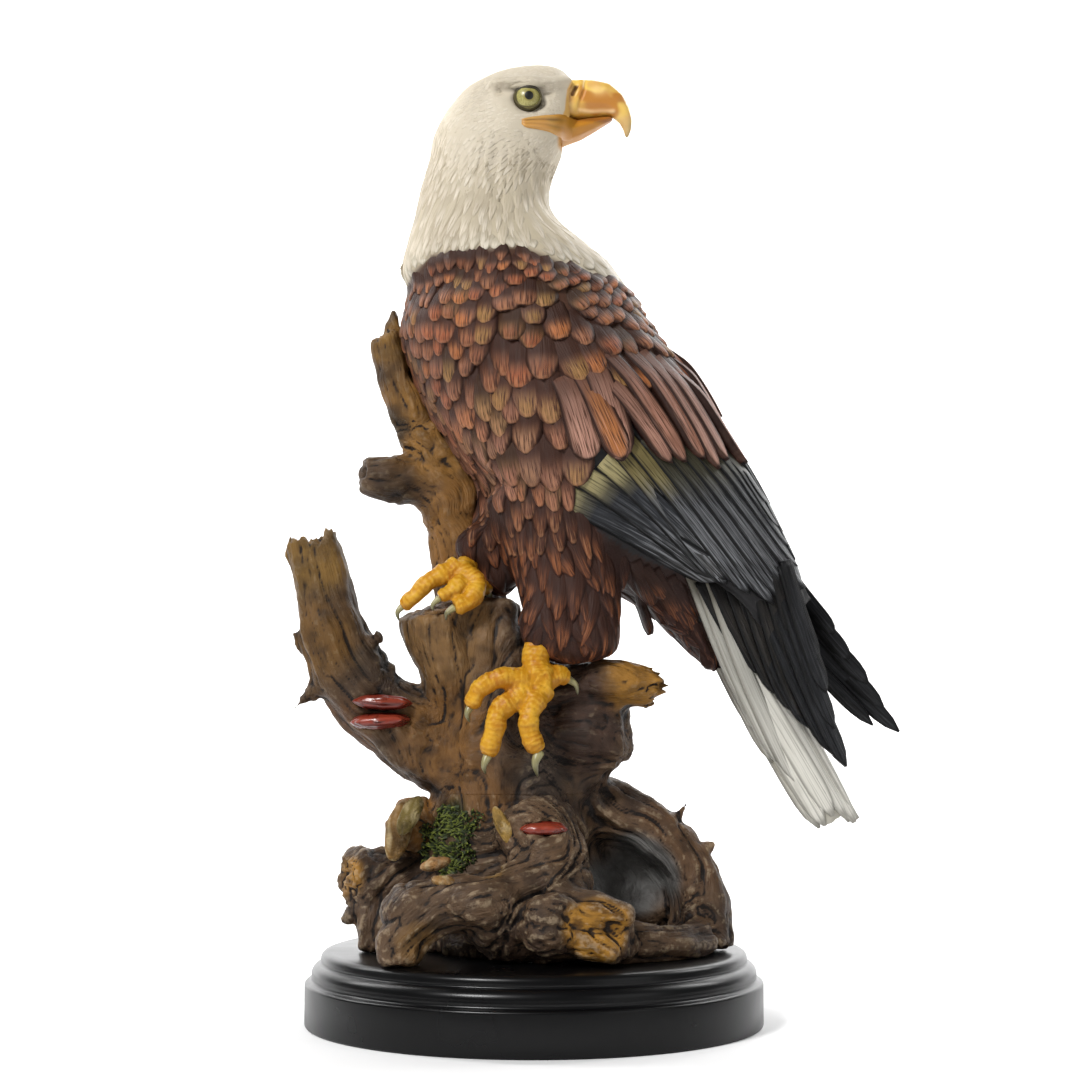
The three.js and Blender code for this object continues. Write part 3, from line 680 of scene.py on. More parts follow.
def brown_markings(points, luck):
    """Middle and margin colours of the brown feathers rooted at some places."""
    x, y, z = points.T
    pick = (luck * 97).astype(int) % len(RUSTS)
    centre = np.array(RUSTS)[pick]
    margin = np.array(BARKS)[(pick + (luck * 31).astype(int)) % len(BARKS)]
    scapular = smoothstep(30, 62, x) * smoothstep(292, 258, z)
    centre = mixed(centre, MAUVE, 0.75 * scapular)
    margin = mixed(margin, srgb(116, 84, 70), 0.7 * scapular)
    fawn = smoothstep(300, 262, z) * smoothstep(25, 0, x) * (0.35 + 0.4 * luck)
    centre = mixed(centre, srgb(142, 104, 90), fawn)
    flank = smoothstep(246, 232, z)
    centre = mixed(centre, mixed(MAROON, srgb(128, 76, 46), (luck * 7) % 1), flank)
    margin = mixed(margin, MAROON * 0.8, flank)
    shade = smoothstep(28, 48, x) * smoothstep(225, 205, z)
    centre = mixed(centre, VENT * 1.6, shade)
    margin = mixed(margin, VENT, shade)
    far = smoothstep(0, 14, y) * flank
    centre = mixed(centre, srgb(110, 84, 92), 0.7 * far)
    margin = mixed(margin, srgb(70, 54, 62), 0.7 * far)
    front = smoothstep(-42, -56, x) * (1 - flank)
    centre = mixed(centre, srgb(110, 70, 52), 0.6 * front)
    return centre, margin


def painted_side_shade(y):
    """Painted shade: the whites are a little darker on the sides of the head and neck, away from the light
    from above, than on top.
    """
    return 1 - 0.13 * smoothstep(8, 22, np.abs(y))


def white_markings(points, luck):
    _, y, z = points.T
    low = smoothstep(352, 332, z)
    centre = mixed(IVORY, srgb(219, 209, 191), luck)
    centre = mixed(centre, srgb(212, 206, 190), 0.5 * low)
    margin = mixed(srgb(196, 184, 161), srgb(184, 172, 150), luck)
    margin = mixed(margin, srgb(170, 164, 148), 0.5 * low)
    shade = painted_side_shade(y)[:, None]
    return centre * shade, margin * shade


def face_markings(points, luck):
    """On the face the feathers are one soft colour, with hardly a margin."""
    centre, margin = white_markings(points, luck)
    return centre, mixed(margin, centre, 0.75 + 0 * luck)


# ------------------------------------------------------------------ the skin

FLESH = [
    "head", "neck", "body", "undertail", "thigh_left", "thigh_right", "wing_left_coverts",
    "wing_right_coverts",
    "wing_left_secondaries", "wing_right_secondaries",
]
COAT_DEPTH = 1.7
EYES = {side: (Vector(sum(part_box(f"eye_{side}"), Vector())) / 2) / MM for side in ("left", "right")}
EYE_RADIUS = 6.4
LEFT, RIGHT = -1, 1
SIDES = {"left": LEFT, "right": RIGHT}


SPINE = [
    (18, 0, 402), (-18, 0, 398), (-22, 0, 370), (-15, 0, 330), (5, 0, 280), (36, 0, 230), (66, 0, 188),
    (84, 0, 150),
]


def unwrap(points):
    """An unrolling of the bird round its own spine: the turn round it, and the way along it."""
    _, run, at = polyline_hit(points, SPINE)
    tangent = unit(np.array([np.interp(run, *axis) for axis in spine_slopes()]).T)
    dorsal = unit(np.cross(tangent, (0, 1, 0)))
    out = points - at
    turn = np.arctan2(out[:, 1], (out * dorsal).sum(1))
    whole = np.linalg.norm(np.diff(SPINE, axis=0), axis=1).sum()
    return np.stack([0.02 + 0.95 * (turn / (2 * math.pi) + 0.5), 0.02 + 0.95 * run / whole], axis=1)


def spine_slopes():
    line = np.array(SPINE, float)
    steps = np.diff(line, axis=0)
    lengths = np.linalg.norm(steps, axis=1)
    middles = np.cumsum(lengths) - lengths / 2
    return [(middles, (steps / lengths[:, None])[:, k]) for k in range(3)]


def facing_out(surface):
    """The surface with its faces turned outwards."""
    volume = 0.0
    for f in surface.faces:
        a = surface.points[f[0]]
        for k in range(1, len(f) - 1):
            volume += a @ np.cross(surface.points[f[k]], surface.points[f[k + 1]])
    if volume < 0:
        surface.faces = [tuple(reversed(f)) for f in surface.faces]
    return surface


def ball(centre, radius, rings=24, sides=40, axis=(0, 0, 1)):
    """A sphere with its pole on an axis, and how far each point is turned from it, in degrees."""
    axis = unit(axis)
    side = unit(np.cross(axis, (0.3, 0.5, 0.8)))
    other = np.cross(axis, side)
    turns = np.linspace(0, 2 * math.pi, sides, endpoint=False)
    points, lean = [centre + radius * axis], [0.0]
    for row in range(1, rings):
        angle = math.pi * row / rings
        for turn in turns:
            flat = math.cos(turn) * side + math.sin(turn) * other
            points.append(centre + radius * (math.cos(angle) * axis + math.sin(angle) * flat))
            lean.append(math.degrees(angle))
    points.append(centre - radius * axis)
    lean.append(180.0)
    faces = [(0, 1 + i, 1 + (i + 1) % sides) for i in range(sides)]
    for row in range(rings - 2):
        for i in range(sides):
            j = (i + 1) % sides
            a, b = 1 + row * sides, 1 + (row + 1) * sides
            faces.append((a + i, b + i, b + j, a + j))
    last = 1 + (rings - 2) * sides
    faces += [(len(points) - 1, last + (i + 1) % sides, last + i) for i in range(sides)]
    return facing_out(Surface(np.array(points), faces)), np.array(lean)


def egg(place, sizes, turn):
    """A closed egg shape in the middle of a hollow, as a mesh."""
    surface, _ = ball(np.zeros(3), 1.0, 14, 24)
    angle = math.radians(turn)
    x, y, z = (surface.points * sizes).T
    surface.points = np.stack(
        [x * math.cos(angle) + z * math.sin(angle), y, z * math.cos(angle) - x * math.sin(angle)], axis=1
    ) + np.array(place, float)
    return surface


def near(points, place, radius):
    """1 at a place, falling to 0 at a radius from it."""
    gap = np.linalg.norm(points - np.asarray(place, float), axis=1)
    return smoothstep(radius, 0, gap)


def along_line(points, line, radius):
    """1 on a polyline, falling to 0 at a radius from it."""
    return smoothstep(radius, 0, polyline_hit(points, line)[0])


def sculpt_face(skin):
    """The brow, the socket, the lores, the cheek and the soft folds of the neck."""
    for side, sign in SIDES.items():
        eye = np.array(EYES[side])
        p = skin.points
        x, _, z = eye
        push = 2.3 * along_line(p, [(x - 16, sign * 21, z + 6.2), (x - 5, sign * 22.4, z + 7.2),
                                    (x + 6, sign * 20.6, z + 6.6), (x + 11, sign * 17, z + 7.2),
                                    (x + 18, sign * 11, z + 10)], 4.4)
        push -= 1.5 * along_line(p, [(x - 12, sign * 22, z + 2.6), (x, sign * 22, z + 3.6),
                                     (x + 10, sign * 18, z + 3.0)], 3.2)
        push -= 1.1 * near(p, eye + (0.6, sign * 5, -0.4), 8.5)
        push -= 1.3 * along_line(p, [(x + 7, sign * 18, z - 1), (x + 15, sign * 12, z - 1)], 5.5)
        push += 0.9 * near(p, (x - 8, sign * 23, z - 12), 10)
        skin.push(push)
    low = smoothstep(396, 372, skin.points[:, 2]) * smoothstep(318, 330, skin.points[:, 2])
    way = np.column_stack([unwrap(skin.points) * (46, 9), np.zeros(len(skin.points))])
    skin.push(1.0 * low * layered_noise(way, 1.0, 7, 2))


# Feathered flesh that hangs over the top of each ankle: the middle, the half sizes and the turn about Y.
TROUSERS = [
    ((6, -35.5, 171), (15, 10.5, 14), 8), ((20, -34, 168), (16, 11, 11), 0),
    ((-26, -12, 207), (10, 10.5, 10.5), 0),
]


SKIN_VOXEL = 1.6


def skin_surface():
    skin = swollen_copy(FLESH, TROUSERS, 0.5, SKIN_VOXEL)
    skin.smooth(34)
    skin = refined(skin, lambda c: (c[:, 2] > 372) & (c[:, 0] > -40), 1)
    skin.smooth(6, mask=skin.points[:, 2] > 370)
    sculpt_face(skin)
    skin = refined(skin, lambda c: (c[:, 2] > 380) & (c[:, 0] > -26), 1)
    skin.smooth(3, mask=skin.points[:, 2] > 380)
    on_face = smoothstep(366, 386, skin.points[:, 2])
    skin.push(-(COAT_DEPTH - 1.2 * on_face))
    return skin


# ------------------------------------------------------------------ vanes

PATCH = 0.003  # the side of a vane's patch on the unrolled bird


def hits(tree, points):
    """The nearest places on a surface, and the normals there."""
    places = np.empty_like(points)
    normals = np.empty_like(points)
    for i, p in enumerate(points):
        place, normal, _, _ = tree.find_nearest(p)
        places[i] = place
        normals[i] = normal
    return places, normals


def scatter(skin, tree, wanted, seed, crowding=1.0, room=0.8):
    """Even, staggered places over the part of the skin that wanted() keeps."""
    rng = np.random.default_rng(seed)
    corners = np.array([f[:3] for f in skin.faces] + [(f[0], f[2], f[3]) for f in skin.faces if len(f) == 4])
    a, b, c = (skin.points[corners[:, k]] for k in range(3))
    keep = wanted((a + b + c) / 3)
    a, b, c = a[keep], b[keep], c[keep]
    area = np.linalg.norm(np.cross(b - a, c - a), axis=1) / 2
    normal = unit(np.cross(b - a, c - a))
    _, size = lie_of((a + b + c) / 3, normal)
    weight = area / (size[:, 0] * PITCH * size[:, 1] * PACKING * crowding)
    count = int(weight.sum() * 14)
    pick = rng.choice(len(a), count, p=weight / weight.sum())
    u, v = rng.random((2, count))
    flip = u + v > 1
    u[flip], v[flip] = 1 - u[flip], 1 - v[flip]
    points = a[pick] + u[:, None] * (b - a)[pick] + v[:, None] * (c - a)[pick]
    normals = normal[pick]
    way, size = lie_of(points, normals)
    side = np.cross(normals, way)
    reach = np.stack([size[:, 0] * PITCH / 0.866, size[:, 1] * PACKING], axis=1) * math.sqrt(crowding)
    index = KDTree(count)
    for i, p in enumerate(points):
        index.insert(p, i)
    index.balance()
    alive = np.ones(count, bool)
    kept = []
    for i in range(count):
        if not alive[i]:
            continue
        kept.append(i)
        close = np.array([k for _, k, _ in index.find_range(points[i], reach[i].max() * room)])
        gap = points[close] - points[i]
        scaled = np.hypot(gap @ way[i] / reach[i, 0], gap @ side[i] / reach[i, 1])
        alive[close[scaled < room]] = False
    points, normals, reach = points[kept], normals[kept], reach[kept]
    for _ in range(7):
        points, normals = spread_out(points, normals, reach, tree)
    return points, normals


def spread_out(points, normals, reach, tree):
    """Pushes neighbours apart until they stand evenly."""
    way, _ = lie_of(points, normals)
    side = np.cross(normals, way)
    index = KDTree(len(points))
    for i, p in enumerate(points):
        index.insert(p, i)
    index.balance()
    moved = points.copy()
    for i, p in enumerate(points):
        close = [k for _, k, _ in index.find_range(p, reach[i].max()) if k != i]
        if not close:
            continue
        gap = p - points[close]
        u, v = gap @ way[i] / reach[i, 0], gap @ side[i] / reach[i, 1]
        far = np.hypot(u, v)
        push = np.clip(1 - far, 0, 1) / np.maximum(far, 0.05) * 0.22
        moved[i] = p + way[i] * (push @ u) * reach[i, 0] + side[i] * (push @ v) * reach[i, 1]
    return hits(tree, moved)


class Coat:
    """Vanes gathered into one mesh. Each is a carved wedge: a crowned face, side walls and a flat back."""

    def __init__(self, across):
        self.across = np.array(across, float)
        self.parts = []

    def add(self, middle, left, right, normal, height, depth, centre, margin, vane, run, root):
        """Arrays of vanes by stations by 3 for the ridge and edges, heights by vanes, stations and lanes."""
        a = self.across[None, None, :, None]
        half = (right - left)[:, :, None] / 2
        sag = ((left + right) / 2 - middle)[:, :, None]
        face = middle[:, :, None] + half * a + sag * a**2 + normal[:, :, None] * height[..., None]
        back = np.stack([left, right], axis=2) - normal[:, :, None] * depth[:, :, None, None]
        points = np.concatenate([face, back], axis=2)

        def lanes(values):
            return np.concatenate([values, values[:, :, [0, -1]]], axis=2)

        patch = root[:, None, None] + PATCH * np.stack([vane[..., 0] / 2, vane[..., 1] - 0.5], axis=-1)
        self.parts.append([points, lanes(centre), lanes(margin), lanes(vane), lanes(run), lanes(patch)])

    def faces(self, count, stations):
        wide = len(self.across)
        stride = wide + 2
        one = []
        for row in range(stations - 1):
            near_row, far_row = row * stride, (row + 1) * stride
            for k in range(wide - 1):
                one.append((near_row + k, near_row + k + 1, far_row + k + 1, far_row + k))
            left, right = wide, wide + 1
            one.append((near_row + left, near_row, far_row, far_row + left))
            one.append((near_row + wide - 1, near_row + right, far_row + right, far_row + wide - 1))
            one.append((near_row + right, near_row + left, far_row + left, far_row + right))
        last = (stations - 1) * stride
        one.append(tuple(range(wide - 1, -1, -1)) + (wide, wide + 1))
        one.append(tuple(last + k for k in range(wide)) + (last + wide + 1, last + wide))
        size = stations * stride
        return [tuple(i * size + v for v in f) for i in range(count) for f in one]

    def piece(self, name, material, slot, replaces=()):
        points, centres, margins, vanes, runs, patches, faces = [], [], [], [], [], [], []
        first = 0
        for place, centre, margin, vane, run, patch in self.parts:
            count, stations, wide = place.shape[:3]
            faces += [tuple(v + first for v in f) for f in self.faces(count, stations)]
            for whole, values in zip(
                (points, centres, margins, vanes, runs, patches), (place, centre, margin, vane, run, patch)
            ):
                whole.append(values.reshape(count * stations * wide, -1))
            first += count * stations * wide
        surface = Surface(np.concatenate(points), faces)
        named = {
            "centre": with_alpha(np.concatenate(centres)), "margin": with_alpha(np.concatenate(margins)),
            "vane": np.concatenate(vanes), "run": np.concatenate(runs),
        }
        return finish_piece(name, surface, material, replaces, named, np.concatenate(patches))


def outline(stations, point, shoulder=0.55, root=0.5):
    """Half width of a vane down its length, as a share of the widest. The tip is pointed where point is 1."""
    u = np.clip((stations - shoulder) / (1 - shoulder), 0, 1)
    tip = (1 - point) * np.sqrt(np.clip(1.02 - u**2, 0, 1)) + point * (1.04 - u) ** 0.8
    base = root + (1 - root) * smoothstep(0, shoulder, stations)
    return np.clip(base * tip, 0.06, 1)


def lay_vanes(
    coat, tree, roots, normals, markings, seed, stations=9, crown=0.09, hem=None, relief=1.0, breadth=1.0,
):
    """Traces a vane from each root along the lie of the plumage."""
    rng = np.random.default_rng(seed)
    count = len(roots)
    luck = rng.random(count)
    t = 1 - (1 - np.linspace(0, 1, stations)) ** 1.6
    way, size = lie_of(roots, normals)
    loose = 1 + 1.6 * smoothstep(0.6, 0.9, size[:, 3]) * (roots[:, 2] < 300)
    length = size[:, 0] * (1 + rng.uniform(-0.15, 0.15, count) * loose)
    width = size[:, 1] * breadth * (1 + rng.uniform(-0.1, 0.2, count) * loose)
    lift = size[:, 2] * relief * rng.uniform(0.8, 1.25, count)
    if hem is not None:
        room = (roots[:, 2] - hem(roots)) / np.maximum(-way[:, 2], 0.3)
        ragged = np.interp(roots[:, 0], [0, 14], [1.0, 3.2])
        length = np.minimum(length, np.maximum(room + rng.uniform(-1, 1, count) * ragged, 2.5))
    bend = rng.normal(0, 0.1, count) * loose**1.5
    point = np.clip(size[:, 3:4] + rng.uniform(-0.15, 0.15, (count, 1)), 0, 1)
    half = width[:, None] / 2 * outline(t[None, :], point, 0.66 - 0.24 * point, 0.8 - 0.35 * point)
    place, normal = roots.copy(), normals.copy()
    middles, lefts, rights, ups = [], [], [], []
    for k in range(stations):
        if k:
            place = place + way * ((t[k] - t[k - 1]) * length)[:, None]
            place, normal = hits(tree, place)
            new_way, _ = lie_of(place, normal)
            way = unit(way * 0.5 + new_way * 0.5 + np.cross(normal, way) * (bend * 0.3)[:, None])
            way = unit(way - (way * normal).sum(1, keepdims=True) * normal)
        side = np.cross(normal, way)
        out = side * half[:, k, None]
        left, _ = hits(tree, place - out)
        right, _ = hits(tree, place + out)
        middles.append(place)
        lefts.append(place - out + ((left - place + out) * normal).sum(1, keepdims=True) * normal)
        rights.append(place + out + ((right - place - out) * normal).sum(1, keepdims=True) * normal)
        ups.append(normal)
    a = coat.across[None, None, :]
    rise = t[None, :, None] ** 1.2
    droop = 1 - 0.3 * smoothstep(0.86, 1, t)[None, :, None]
    tilt = rng.normal(0, 0.08 * relief, count)[:, None, None]
    sink = np.minimum(0.35, 1.5 * lift)[:, None, None]
    height = (lift[:, None, None] + sink) * rise * droop - sink
    height = height + crown * width[:, None, None] * (1 - a**2) * smoothstep(0, 0.3, t)[None, :, None] * droop
    height = height + tilt * a * half[..., None] - 0.25 * lift[:, None, None] * a**2 * rise
    centre, margin = markings(roots, luck)
    shape = (count, stations, len(coat.across))
    lane = np.broadcast_to(a, shape)
    down = np.broadcast_to(t[None, :, None], shape)
    lot = np.broadcast_to(luck[:, None, None], shape)
    run = np.stack([lane * half[..., None], down * length[:, None, None], lot * 40], axis=-1)
    coat.add(
        np.stack(middles, 1), np.stack(lefts, 1), np.stack(rights, 1), np.stack(ups, 1), height,
        np.full((count, stations), 0.7), np.broadcast_to(centre[:, None, None], (*shape, 3)),
        np.broadcast_to(margin[:, None, None], (*shape, 3)), np.stack([lane, down, lot], axis=-1), run,
        unwrap(roots),
    )


SKIN = skin_surface()
SKIN_TREE = SKIN.tree()

BILL_ROOM = 13.0
# In [x, height]: the lower edge of a folded wing, and the line that the covert feathers' roots stop at.
WING_EDGE = [
    (-20, 245), (2.5, 229.9), (18, 218.5), (40.5, 204.2), (64.3, 194.7), (82.1, 189.9), (102.5, 180),
    (130, 170),
]
COVERT_LINE = [
    (-20, 238), (0, 241), (15, 245), (26, 256), (40, 262), (60, 259), (78, 247), (100, 227), (120, 217),
]


# The line over which small feathers hide the roots of the long shoulder feathers.
SHOULDER_LINE = [(17, 250), (24, 266), (31, 286), (46, 292), (60, 287), (78, 279), (95, 262), (112, 250)]


def face_clear(points):
    """Where short feathers may stand: off the eyes and the bill."""
    off = np.ones(len(points), bool)
    for side in SIDES:
        eye = np.array(EYES[side])
        gap = (points - eye) / (1, 1, 0.95)
        off &= np.linalg.norm(gap, axis=1) > EYE_RADIUS + 1.6
    chin = (points[:, 0] > 11) & (points[:, 2] < 391) & (points[:, 2] > 383)
    return off & (points[:, 0] < BILL_ROOM) & ~chin


def above_hem(points):
    return points[:, 2] - hem_height(points)


# The bare skin at the corner of the mouth, as [x, height]: its upper and lower edges from back to front.
GAPE_TOP = [(-5.4, 392.4), (-2.6, 393.4), (3.1, 394.6), (7.7, 395.4), (12.2, 396.4), (20, 396.6)]
GAPE_BOTTOM = [
    (-5.4, 390.2), (-3.4, 388.9), (1, 388.5), (6.5, 388.0), (10, 387.2), (13, 387.0), (16, 387.4),
    (20, 389.4),
]


def off_gape(points):
    x, _, z = points.T
    inside = (z < np.interp(x, *zip(*GAPE_TOP)) + 0.5) & (z > np.interp(x, *zip(*GAPE_BOTTOM)) - 0.3)
    return ~(inside & (x > GAPE_TOP[0][0]))


def is_face(points):
    return (points[:, 2] > 378) & (points[:, 0] > -36) & face_clear(points) & off_gape(points)


def is_hood(points):
    return (above_hem(points) > 6.5) & ~((points[:, 2] > 378) & (points[:, 0] > -36))


def is_flight(points):
    """Where the long feathers of the wing and shoulder lie instead of small ones."""
    x, y, z = points.T
    above_edge = z > np.interp(x, *zip(*WING_EDGE)) + 9
    below_coverts = z < np.interp(x, *zip(*COVERT_LINE))
    below_shoulder = (z < np.interp(x, *zip(*SHOULDER_LINE))) & (x > SHOULDER_LINE[0][0])
    return above_edge & (below_coverts | below_shoulder) & (
        (np.abs(y) > 24) | ((x > 58) & (np.abs(y) > 13 - 5 * smoothstep(78, 88, x)))
    )


# The bottom of the gap between the folded wings, as [height, x].
WING_GAP = [(186, 80.1), (218, 75.8), (250, 69.7), (282, 62.2)]


def on_wing_rim(points):
    """The inner edge of each folded wing, along the middle of the back."""
    x, y, z = points.T
    raised = x > np.interp(z, *zip(*WING_GAP)) + 3
    return raised & (np.abs(y) < np.interp(z, [262, 270], [14, 10])) & (z < 284)


def under_wing(points):
    """The lower edge of each folded wing, where it stands free of the body."""
    x, y, z = points.T
    edge = (x > 28) & (z > np.interp(x, *zip(*WING_EDGE)) - 1) & (np.abs(y) > np.where(x > 46, 6, 20))
    return (edge & (z < 240)) | ((x > 70) & (z < 206) & (np.abs(y) > 8))


def is_brown(points):
    bare = is_flight(points) | on_wing_rim(points) | under_wing(points)
    return (above_hem(points) < 2) & (points[:, 2] > 150) & ~bare


def is_down(points):
    """The loose feathers of the thighs and rump, which are the sharp ones."""
    return is_brown(points) & (lie_of(points, np.zeros_like(points))[1][:, 3] > 0.7) & (points[:, 2] < 228)


def is_contour(points):
    return is_brown(points) & ~is_down(points)


def skin_build(tree):
    # A thin dark wash in the skin's hollows, partly painted shade; no pale brush on the ridges.
    wash_and_shade = use(tree, RECESS_WASH_AND_SHADE, {
        "Colour": attribute(tree, "tint"), "Wash and shade": rgba(srgb(50, 38, 30)), "Brush": rgba(srgb(240, 236, 226)),
        "Hollow": attribute(tree, "hollow", "Fac"), "Reach": 0.2, "Amount": 0.12, "Brush amount": 0.0,
    })
    grain = noise(tree, object_place(tree), 900.0)
    rough = calc(tree, "ADD", 0.5, calc(tree, "MULTIPLY", grain, 0.1))
    return {"Base Color": wash_and_shade["Colour"], "Roughness": rough, "Height": (grain, 0.2)}


SKIN_PAINT = material("skin_paint", skin_build, Specular_IOR_Level=SATIN)


# The back edge of the cere, as [height, x].
CERE_BACK = [(396, 12.6), (399, 13.7), (403, 14.0), (408, 14.6), (413, 16.9)]


def dress_skin():
    white = smoothstep(-2, 2, above_hem(SKIN.points))
    # The skin between the brown feathers is painted dark as their shade, darker still low on the body.
    down = smoothstep(255, 225, SKIN.points[:, 2])
    brown = mixed(np.broadcast_to(srgb(70, 46, 34), SKIN.points.shape), RECESS_SHADE, down)
    wing = is_flight(SKIN.points) | on_wing_rim(SKIN.points) | under_wing(SKIN.points)
    below = SKIN.points[:, 2] < np.interp(SKIN.points[:, 0], *zip(*COVERT_LINE))
    brown = mixed(brown, srgb(38, 37, 38), 1.0 * (wing & below))
    x, y, z = SKIN.points.T
    pale = mixed(
        np.broadcast_to(srgb(192, 180, 156), SKIN.points.shape), srgb(207, 196, 175),
        smoothstep(350, 378, z),
    )
    tint = mixed(brown, pale * painted_side_shade(y)[:, None], white)
    cere = smoothstep(-0.5, 0.3, x - np.interp(z, *zip(*CERE_BACK))) * smoothstep(394, 396, z)
    chin = smoothstep(9.5, 11.5, x) * smoothstep(392, 389.5, z) * smoothstep(381.5, 384.5, z)
    tint = mixed(tint, srgb(210, 166, 96), cere)
    tint = mixed(tint, MANDIBLE, chin)
    finish_piece(
        "skin", SKIN, SKIN_PAINT, FLESH,
        {"tint": with_alpha(tint), "hollow": SKIN.hollowness()},
    )


def dress_feathers():
    small = (-1, -0.5, 0, 0.5, 1)
    wide = (-1, -0.66, -0.33, 0, 0.33, 0.66, 1)
    face, hood, brown, down = Coat(small), Coat(small), Coat(wide), Coat(wide)
    points, normals = scatter(SKIN, SKIN_TREE, is_face, 11)
    lay_vanes(face, SKIN_TREE, points, normals, face_markings, 12, 5, 0.004, relief=0.14, breadth=1.2)
    face.piece("face_feathers", FACE_PLUMAGE, "white_plumage")
    points, normals = scatter(SKIN, SKIN_TREE, is_hood, 21)
    lay_vanes(
        hood, SKIN_TREE, points, normals, white_markings, 22, 9, 0.028, hem_height, relief=0.45, breadth=1.2,
    )
    hood.piece("hood_hackles", WHITE_PLUMAGE, "white_plumage")
    points, normals = scatter(SKIN, SKIN_TREE, is_contour, 31)
    lay_vanes(brown, SKIN_TREE, points, normals, brown_markings, 32, 10, breadth=1.15)
    brown.piece("brown_feathers", BROWN_PLUMAGE, "brown_plumage")
    points, normals = scatter(SKIN, SKIN_TREE, is_down, 33)
    lay_vanes(down, SKIN_TREE, points, normals, brown_markings, 34, 10, 0.06)
    down.piece("down_feathers", DOWN_PLUMAGE, "brown_plumage")


dress_skin()
dress_feathers()


# ------------------------------------------------------------------ flight feathers and tail

# Quills as [x, height] of the root and of the tip, then the width. Each lies over the one before it.
BROAD_QUILLS = [((6, 229.5), (80, 191.5), 15), ((18, 236), (81, 193), 15), ((29, 241), (81.5, 192), 12)]
SECONDARY_ROOTS = [
    (32, 249), (39, 251), (47, 251), (53, 252), (59, 252), (65, 252), (71, 252), (76, 251), (81, 248),
    (86, 243),
]
OLIVE_SECONDARIES = 2  # of them, the ones whose roots are bright olive
SHOULDER_QUILLS = [
    ((12, 276), (24, 241), 14), ((24, 284), (37, 240.5), 15), ((27, 280), (57, 240.3), 8.5),
    ((30, 288), (63, 240.6), 9),
    ((39, 290), (71, 242), 9), ((46, 289), (77.4, 237.8), 8.5), ((52, 287), (81, 241.6), 8.5),
    ((60, 283), (89.4, 240.8), 8),
]
# Feathers down the inner edge of each wing, as [distance from the middle, height] of the root and of the tip.
BACK_QUILLS = [
    ((11.5, 246), (9.5, 189), 9.5), ((9, 256), (8, 200), 9.5), ((11.5, 264), (9.5, 212), 9.5),
    ((9, 272), (8, 224), 9),
]
BACK_COVERTS = [
    ((12, 280), (11, 240), 9), ((8.5, 282), (8, 248), 8.5), ((14, 290), (12.5, 256), 9),
    ((8.5, 294), (8, 262), 9),
]
# Loose feathers between the thigh and the wing's lower edge.
FLANK_QUILLS = [
    ((58, 193), (70, 170), 8), ((51, 196), (64, 174), 8), ((43, 199.5), (52, 181), 8),
    ((47, 197.5), (57, 184), 7), ((45, 188), (51.5, 168.5), 6),
]
SHOULDER_OVAL = [((19, 279), (37.5, 241.5), 12.5)]
SECONDARY_TIPS = [
    (82.3, 190), (92, 186), (102.5, 181.5), (109, 181.5), (113, 183.5), (116, 188), (112.5, 197.3),
    (108.7, 205.8),
    (103.5, 214.3), (98.5, 225),
]
PRIMARY_QUILLS = {
    "left": [
        ((88, 190), (118.5, 128), 7.5), ((94, 192), (128.5, 117), 8), ((100, 194), (134.2, 111.4), 8.5),
        ((104, 196), (128.9, 127.7), 7.5), ((107, 198), (125.4, 143.3), 7.5), ((108, 200), (121.5, 157), 7.5),
    ],
    "right": [
        ((96, 190), (150.5, 128.5), 7), ((102, 190), (162.1, 125.6), 7.5), ((105, 193), (155.3, 136.4), 7.5),
        ((107, 197), (148.5, 147.2), 7.5), ((108, 201), (140.4, 157.8), 7.5),
        ((108, 206), (133.6, 168.9), 7.5),
    ],
}
# From the middle of the bird, at the root and at the tip.
PRIMARY_DEPTH = {"left": (21, 17), "right": (21, 13)}
RUMP_QUILLS = [
    ((72, 192), (92, 160), 9), ((78, 192), (99, 151), 9), ((84, 192), (106, 142), 9),
    ((90, 192), (112, 135), 9),
    ((95, 194), (117, 131), 9), ((100, 194), (118, 143), 9), ((104, 194), (117, 156), 9),
]
RUMP_DEPTH = (22, 16)
# White feathers beside the root of the tail.
TAIL_SIDE_QUILLS = [((66, 197), (98, 126), 6), ((70, 196), (106, 112), 7), ((75, 195), (113, 104), 8)]
TAIL_SIDE_DEPTH = (21, 14.5)
QUILL_STATIONS = 16
QUILL_LANES = (-1, -0.7, -0.35, 0, 0.35, 0.7, 1)


def side_of_bird(x, z, sign, last):
    """The skin's place and normal at [x, z] on one side of the bird, or a run on past its edge."""
    place, normal, _, _ = SKIN_TREE.ray_cast(Vector((x, sign * 150, z)), Vector((0, -sign, 0)))
    if place is None or abs(place.y) < 6:
        y, normal = last
        return np.array([x, y * 0.985, z]), normal
    return np.array(place), np.array(normal)


def smoothed(values, rounds):
    values = values.copy()
    for _ in range(rounds):
        values[1:-1] = (values[:-2] + 2 * values[1:-1] + values[2:]) / 4
    return values


